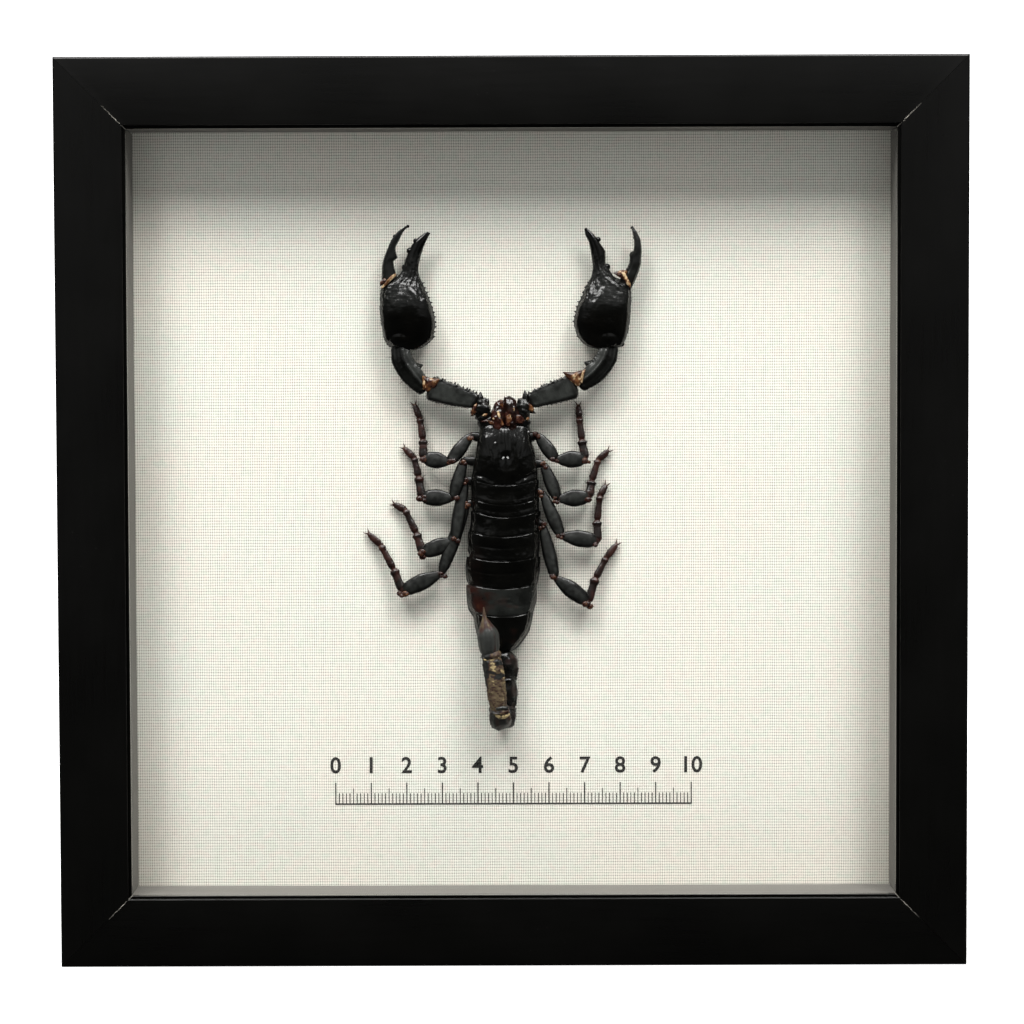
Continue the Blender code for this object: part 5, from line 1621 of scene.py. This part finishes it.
# Tail pieces: columns, squareness, keels, brown, film and dullness.
TAIL_SHAPES = (
    (56, (0.85, 0.80), 0.34, 0.11, 0.10, 0.00),
    (56, (0.85, 0.80), 0.34, 0.10, 0.14, 0.00),
    (52, (0.80, 0.75), 0.30, 0.12, 0.20, 0.10),
    (52, (0.80, 0.75), 0.26, 0.24, 0.45, 0.40),
    (64, (0.78, 0.70), 0.24, 0.66, 0.85, 0.60),
    (60, (1.00, 1.00), 0.00, 0.05, 1.00, 0.45),
)

# Pale crust on the folded tail piece: place, size and change of its share of brown to cream.
TAIL_CRUST = (
    ((-5.3, -42.8), (0.8, 1.7), 0.34), ((-3.0, -44.4), (0.5, 0.9), 0.34), ((-5.3, -46.8), (0.4, 0.9), 0.26),
    ((-2.6, -48.5), (0.5, 4.0), 0.16), ((-4.1, -41.7), (1.2, 1.0), -1.0), ((-4.1, -45.3), (1.6, 0.9), -1.0),
    ((-6.0, -44.3), (0.6, 0.4), -0.9),
)
# Lumps of skin in the tail's joints: place, brown and stretch.
TAIL_LUMPS = (((-6.2, -40.2, 11.7), 0.05, (2.5, 0.5, 0.9)), ((-2.4, -46.4, 5.8), 0.18, (2.9, 0.8, 1.1)))


def build_tail(finish, hair_finish):
    """Five tail pieces and the sting bulb: back along the linen, then folded forward over themselves."""
    skin, hairs = Skin(), Skin()
    rng = np.random.default_rng(61)
    for number, (columns, full, keel_height, brown, film, dull) in enumerate(TAIL_SHAPES):
        stations = np.array(TAIL[number])
        rows = 96 if number >= 4 else 60
        grid, share, turns = sweep(stations, rows, columns, full=full)
        normal = outward(grid)
        ridges = sum(keel(turns, place, 9) for place in (22, 62, 118, 158)) * keel_height
        ridges = ridges * (0.45 + 0.8 * granules(grid, 0.75, 200 + number, 0.85))
        fade = mound(share, 0.0, 0.10) * mound(share, 1.0, 0.92)
        wave = soft_noise(grid, 1.8, 210 + number) * (0.24 if number < 3 else 0.10)
        wave = wave + soft_noise(grid, 0.7, 220 + number) * 0.05
        collar = 0.22 * crest(share - 0.965, 0.03) - 0.20 * crest(share - 0.90, 0.03) if number < 5 else 0.0
        height = ridges * fade + wave + collar
        cloud = soft_noise(grid, 1.5, 230 + number)
        brown_part, film_part = brown + 0.12 * cloud, film
        if number == 4:
            x, y = grid[..., 0], grid[..., 1]
            crust = granules(grid, 0.9, 240, 0.5)
            height = height + 0.12 * crust + 0.05 * granules(grid, 0.4, 241, 0.8)
            pits = mound(granules(grid, 0.50, 244, 0.5), 0.30, 0.55)
            brown_part = 0.60 + 0.10 * cloud + 0.12 * soft_noise(grid, 0.45, 243) - 0.34 * pits
            for place, size, change in TAIL_CRUST:
                away = np.hypot((x - place[0]) / size[0], (y - place[1]) / size[1])
                away = away + 0.65 * soft_noise(grid, 0.55, 245)
                brown_part = brown_part + change * mound(away, 1.10, 0.80)
            past_edge = -6.3 + 0.1 * (y + 41.0) - x + 0.6 * cloud
            brown_part = brown_part - 0.9 * mound(past_edge, -0.1, 0.25)
            film_part = 0.35
        if number == 3:
            stripe = mound(np.cos(turns * 7), 0.2, 0.9)
            pale = mound(grid[..., 0], -1.9, -1.1) * mound(grid[..., 1], -58.2, -57.2)
            brown_part = 0.10 + 0.14 * stripe + 0.40 * pale
            film_part = 0.50 + 0.45 * stripe
        if number == 5:
            lines = 0.06 * np.cos(turns * 15) * mound(share, 0.02, 0.15) * mound(share, 0.75, 0.5)
            height = wave * 0.5 + lines
            streak = soft_noise(np.stack([turns * 3.4, share * 3.0, 0 * share], -1), 1.0, 250)
            gold = crest(share - 0.66, 0.09) * mound(np.sin(turns), 0.1, 0.6)
            brown_part = 0.22 * mound(streak, 0.05, 0.5) + 0.46 * gold
            brown_part = brown_part + 0.50 * mound(share, 0.68, 0.80) + 0.1 * cloud
            film_part = 1.0 - 0.25 * mound(-streak, 0.1, 0.5)
        grid = grid + normal * height[..., None]
        dull_part = dull + 0.1 * cloud
        add_piece(skin, grid, np.clip(brown_part, 0, 1), np.clip(film_part, 0, 1), dull_part)
        way = unit(stations[-1][:3] - stations[0][:3])
        for hair in range(12):
            share_along = rng.uniform(0.1, 0.95)
            place = through(np.linspace(0, 1, len(stations)), stations, np.array([share_along]))[0]
            side_way = np.array([rng.choice((-1.0, 1.0)), 0.0, rng.uniform(-0.1, 0.6)])
            foot = place[:3] + side_way * place[3] * 0.9
            add_hair(hairs, foot, side_way + way * 0.3, rng.uniform(0.4, 0.9), rng)
    for place, brown, stretch in TAIL_LUMPS:
        membrane(skin, place, 1.0, brown, 310, stretch=stretch)
    for number, (outline, lift, dome, brown, film) in enumerate(TAIL_SKIN):
        add_patch(skin, outline, lift, dome, brown, 340 + number, film=film)
    for number in range(16):
        foot = (-8.1 + number * 0.06, -39.8 - number * 0.42, 10.6)
        aim = (-1.0, rng.uniform(-0.3, 0.3), 0.3)
        add_spike(skin, foot, aim, rng.uniform(0.3, 0.7), 0.3, sides=6, brown=0.1)
    return [
        skin.build("scorpion_tail_shell", finish, "shell", ["scorpion_tail"], sharp=70),
        hairs.build("scorpion_tail_hairs", hair_finish, "shell"),
    ]


class StageSizes(bpy.types.PropertyGroup):
    """Camera, lights and floor."""

    camera: FloatVectorProperty(
        name="Camera", description="Place of the camera", default=(0.00123, -0.88631, 0.16756),
        subtype="TRANSLATION", unit="LENGTH", size=3, precision=5)
    pitch: FloatProperty(
        name="Pitch", description="How far the camera looks down", default=radians(2.774), subtype="ANGLE")
    yaw: FloatProperty(
        name="Yaw", description="How far the camera turns to the right", default=radians(-0.09),
        subtype="ANGLE")
    roll: FloatProperty(
        name="Roll", description="How far the camera leans", default=radians(-0.188), subtype="ANGLE")
    lens: FloatProperty(name="Lens", description="Focal length in millimetres", default=111.58)
    key_power: FloatProperty(
        name="Key power", description="Power that each soft light has its share of", default=20.6,
        unit="POWER")
    key_side: FloatProperty(
        name="Key size", description="Length that each soft light's sides are shares of", default=0.76,
        unit="LENGTH")
    ambient: FloatProperty(
        name="Ambient", description="Brightness of the room round the camera", default=0.42)
    floor_glow: FloatProperty(
        name="Floor", description="Glow of the floor and backdrop", default=1.05)


def stage_sizes():
    return bpy.context.scene.box_stage


def build_floor():
    """A pale floor that curves up into a backdrop."""
    radius, near, far, half, top, gap = 0.5, -1.6, 1.4, 2.4, 2.6, 0.0002
    line = [(near, 0.0), (0.0, 0.0), (far - radius, 0.0)]
    for turn in np.linspace(0.1, pi / 2, 14):
        line.append((far - radius + radius * sin(turn), radius - radius * cos(turn)))
    line.append((far, top))
    grid = np.array([[(x, y, z) for x in np.linspace(-half, half, 9)] for y, z in line])
    skin = Skin()
    skin.add_grid(grid[:, ::-1] + np.array([0.0, 0.0, FRAME_LOW.z - gap]), closed=False)
    mesh = bpy.data.meshes.new("studio_floor")
    mesh.from_pydata(np.concatenate(skin.points).tolist(), [], skin.faces)
    mesh.shade_smooth()
    finish = Finish("studio_floor")
    place = finish.object_place()
    paper = finish.noise(place, 40.0, detail=3.0)
    mesh.materials.append(finish.principled({
        "Base Color": finish.grey(0.80 + paper * 0.04),
        "Roughness": 0.9,
        "Emission Color": (1.0, 1.0, 1.0),
        "Emission Strength": stage_sizes().floor_glow,
    }))
    floor = bpy.data.objects.new("studio_floor", mesh)
    bpy.context.scene.collection.objects.link(floor)
    floor.visible_glossy = False
    floor.visible_diffuse = False
    floor.visible_transmission = True


# Lights: name, place, width and height as shares of the key size, and share of the key power.
LIGHTS = (
    ("key_left", (-0.44, -0.66, 1.26), 0.55, 1.0, 0.86),
    ("key_right", (0.44, -0.66, 1.26), 0.55, 1.0, 0.86),
    ("key_middle", (0.0, -0.66, 1.30), 0.50, 0.4, 0.26),
)


def build_lights():
    """Soft lights at the upper left and right, a small one between, and a room that is dark at eye level."""
    sizes = stage_sizes()
    target = Vector((0.0, LINEN_Y, MIDDLE_Z))
    for name, place, width, height, share in LIGHTS:
        light = bpy.data.lights.new(name, "AREA")
        light.shape = "RECTANGLE"
        light.size = sizes.key_side * width
        light.size_y = sizes.key_side * height
        light.energy = sizes.key_power * share
        light.color = (1.0, 0.992, 0.975)
        item = bpy.data.objects.new(name, light)
        item.location = place
        item.rotation_euler = (target - Vector(place)).to_track_quat("-Z", "Y").to_euler()
        bpy.context.scene.collection.objects.link(item)
    world = bpy.data.worlds.new("studio_room")
    bpy.context.scene.world = world
    room = Finish("studio_room", world)
    way = room.add("ShaderNodeTexCoord").outputs["Generated"]
    across, depth, height = room.parts(way)
    rays = room.add("ShaderNodeLightPath")
    seen = Value(room, rays.outputs["Is Camera Ray"])
    mirrored = Value(room, rays.outputs["Is Glossy Ray"])
    off_axis = (0.0 - depth).rising(0.94, 0.45)
    corners = abs(across).rising(0.01, 0.18) * height.rising(0.01, 0.18)
    kept = off_axis * (0.10 + height.rising(-0.05, 0.55) * 0.36) + corners * (1 - off_axis) * 0.9
    strength = seen + (1 - seen) * (1 - mirrored * (1 - kept)) * sizes.ambient
    background = room.add("ShaderNodeBackground", {}, {"Color": (1.0, 1.0, 1.0), "Strength": strength})
    room.add("ShaderNodeOutputWorld", {}, {"Surface": background.outputs[0]})


def build_camera():
    """The camera at the photograph's place."""
    sizes = stage_sizes()
    level = cos(sizes.pitch)
    forward = Vector((sin(sizes.yaw) * level, cos(sizes.yaw) * level, -sin(sizes.pitch)))
    camera = bpy.data.objects.new("camera", bpy.data.cameras.new("camera"))
    camera.data.lens = sizes.lens
    camera.data.sensor_width = 36
    camera.data.clip_start = 0.01
    facing = forward.to_track_quat("-Z", "Y").to_matrix().to_4x4()
    lean = Matrix.Rotation(sizes.roll, 4, "Z")
    camera.matrix_world = Matrix.Translation(sizes.camera) @ facing @ lean
    bpy.context.scene.collection.objects.link(camera)
    bpy.context.scene.camera = camera


def dress_node(name, finish):
    """Give a carried-over solid its finish."""
    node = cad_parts[name]
    node.data.materials.clear()
    node.data.materials.append(finish)
    return node


class DressOperator:
    """What the operators below share."""

    bl_options = {"REGISTER", "UNDO"}


class SPECIMEN_OT_mouldings(DressOperator, bpy.types.Operator):
    """Build the four black mouldings."""

    bl_idname = "specimen.mouldings"
    bl_label = "Mouldings"

    def execute(self, context):
        finish = lacquer_finish()
        for number, side in enumerate(("top", "right", "bottom", "left")):
            build_moulding(f"frame_{side}", 90 * number, finish)
        return {"FINISHED"}


class SPECIMEN_OT_glazing(DressOperator, bpy.types.Operator):
    """Give the pane its clear glass."""

    bl_idname = "specimen.glazing"
    bl_label = "Glass"

    def execute(self, context):
        pane = dress_node("glass", glass_finish())
        pane.visible_shadow = False
        pane.visible_diffuse = False
        pane.visible_glossy = False
        return {"FINISHED"}


class SPECIMEN_OT_backing(DressOperator, bpy.types.Operator):
    """Build the stretched linen with its printed scale, the lined strips and the board."""

    bl_idname = "specimen.backing"
    bl_label = "Linen backing"

    def execute(self, context):
        cloth = build_linen(linen_finish())
        scale = build_scale(ink_finish())
        lining = lining_finish()
        for name in ("spacer_top", "spacer_right", "spacer_bottom", "spacer_left"):
            build_spacer(name, lining)
        dress_node("mount_board", board_finish())
        return {"FINISHED"}


class SPECIMEN_OT_back(DressOperator, bpy.types.Operator):
    """Finish the back panel, its tabs and the hanging plate."""

    bl_idname = "specimen.back"
    bl_label = "Back panel and hanger"

    def execute(self, context):
        dress_node("back_panel", fibreboard_finish())
        steel = steel_finish()
        for number in range(1, 9):
            dress_node(f"back_tab_{number}", steel)
        for name in ("hanger", "hanger_nail_left", "hanger_nail_right"):
            dress_node(name, steel)
        return {"FINISHED"}


class SPECIMEN_OT_trunk(DressOperator, bpy.types.Operator):
    """Build the carapace, the back plates and the mouthparts."""

    bl_idname = "specimen.trunk"
    bl_label = "Trunk and mouthparts"

    def execute(self, context):
        build_trunk(shell_finish("trunk_shell", polish=0.12, grain=0.5))
        build_mouthparts(shell_finish("mouthpart_shell", polish=0.16))
        return {"FINISHED"}


class SPECIMEN_OT_legs(DressOperator, bpy.types.Operator):
    """Build the eight legs."""

    bl_idname = "specimen.legs"
    bl_label = "Legs"

    def execute(self, context):
        build_legs(shell_finish("leg_shell", polish=0.26, grain=1.1), shell_finish("leg_hair", polish=0.4))
        return {"FINISHED"}


class SPECIMEN_OT_arms(DressOperator, bpy.types.Operator):
    """Build the two arms and their claws."""

    bl_idname = "specimen.arms"
    bl_label = "Arms and claws"

    def execute(self, context):
        finish = shell_finish("arm_shell", polish=0.17, grain=0.8)
        hair_finish = shell_finish("arm_hair", polish=0.4)
        for side in ("left", "right"):
            build_arm(side, finish, hair_finish)
        return {"FINISHED"}


class SPECIMEN_OT_tail(DressOperator, bpy.types.Operator):
    """Build the folded tail and the sting bulb."""

    bl_idname = "specimen.tail"
    bl_label = "Tail"

    def execute(self, context):
        shell = shell_finish("tail_shell", polish=0.28, grain=1.4, amber=(0.105, 0.076, 0.038),
                             cream=(0.40, 0.31, 0.155))
        build_tail(shell, shell_finish("tail_hair", polish=0.4))
        return {"FINISHED"}


class SPECIMEN_OT_stage(DressOperator, bpy.types.Operator):
    """Set up the floor, the lights and the camera."""

    bl_idname = "specimen.stage"
    bl_label = "Stage"

    def execute(self, context):
        build_floor()
        build_lights()
        build_camera()
        settings = context.scene.view_settings
        settings.view_transform = "Standard"
        settings.look = "None"
        settings.exposure = 0.0
        settings.gamma = 1.0
        return {"FINISHED"}


STEPS = (
    SPECIMEN_OT_mouldings, SPECIMEN_OT_backing, SPECIMEN_OT_back, SPECIMEN_OT_trunk, SPECIMEN_OT_legs,
    SPECIMEN_OT_arms, SPECIMEN_OT_tail, SPECIMEN_OT_glazing, SPECIMEN_OT_stage,
)
SETTINGS = {
    "box_frame": FrameSizes,
    "box_linen": LinenSizes,
    "box_specimen": SpecimenSizes,
    "box_stage": StageSizes,
}


class SPECIMEN_PT_panel(bpy.types.Panel):
    """The steps of the model and its settings."""

    bl_label = "Framed scorpion"
    bl_idname = "SPECIMEN_PT_panel"
    bl_space_type = "VIEW_3D"
    bl_region_type = "UI"
    bl_category = "Framed scorpion"

    def draw(self, context):
        for step in STEPS:
            self.layout.operator(step.bl_idname)
        for name, group in SETTINGS.items():
            box = self.layout.box()
            box.label(text=group.__doc__)
            for setting in group.__annotations__:
                box.prop(getattr(context.scene, name), setting)


def register():
    for group in (*SETTINGS.values(), *STEPS, SPECIMEN_PT_panel):
        bpy.utils.register_class(group)
    for name, group in SETTINGS.items():
        setattr(bpy.types.Scene, name, PointerProperty(type=group))


def unregister():
    for name in SETTINGS:
        delattr(bpy.types.Scene, name)
    for group in reversed((*SETTINGS.values(), *STEPS, SPECIMEN_PT_panel)):
        bpy.utils.unregister_class(group)


def main():
    register()
    for step in STEPS:
        category, name = step.bl_idname.split(".")
        getattr(getattr(bpy.ops, category), name)()


if __name__ == "__main__":
    main()
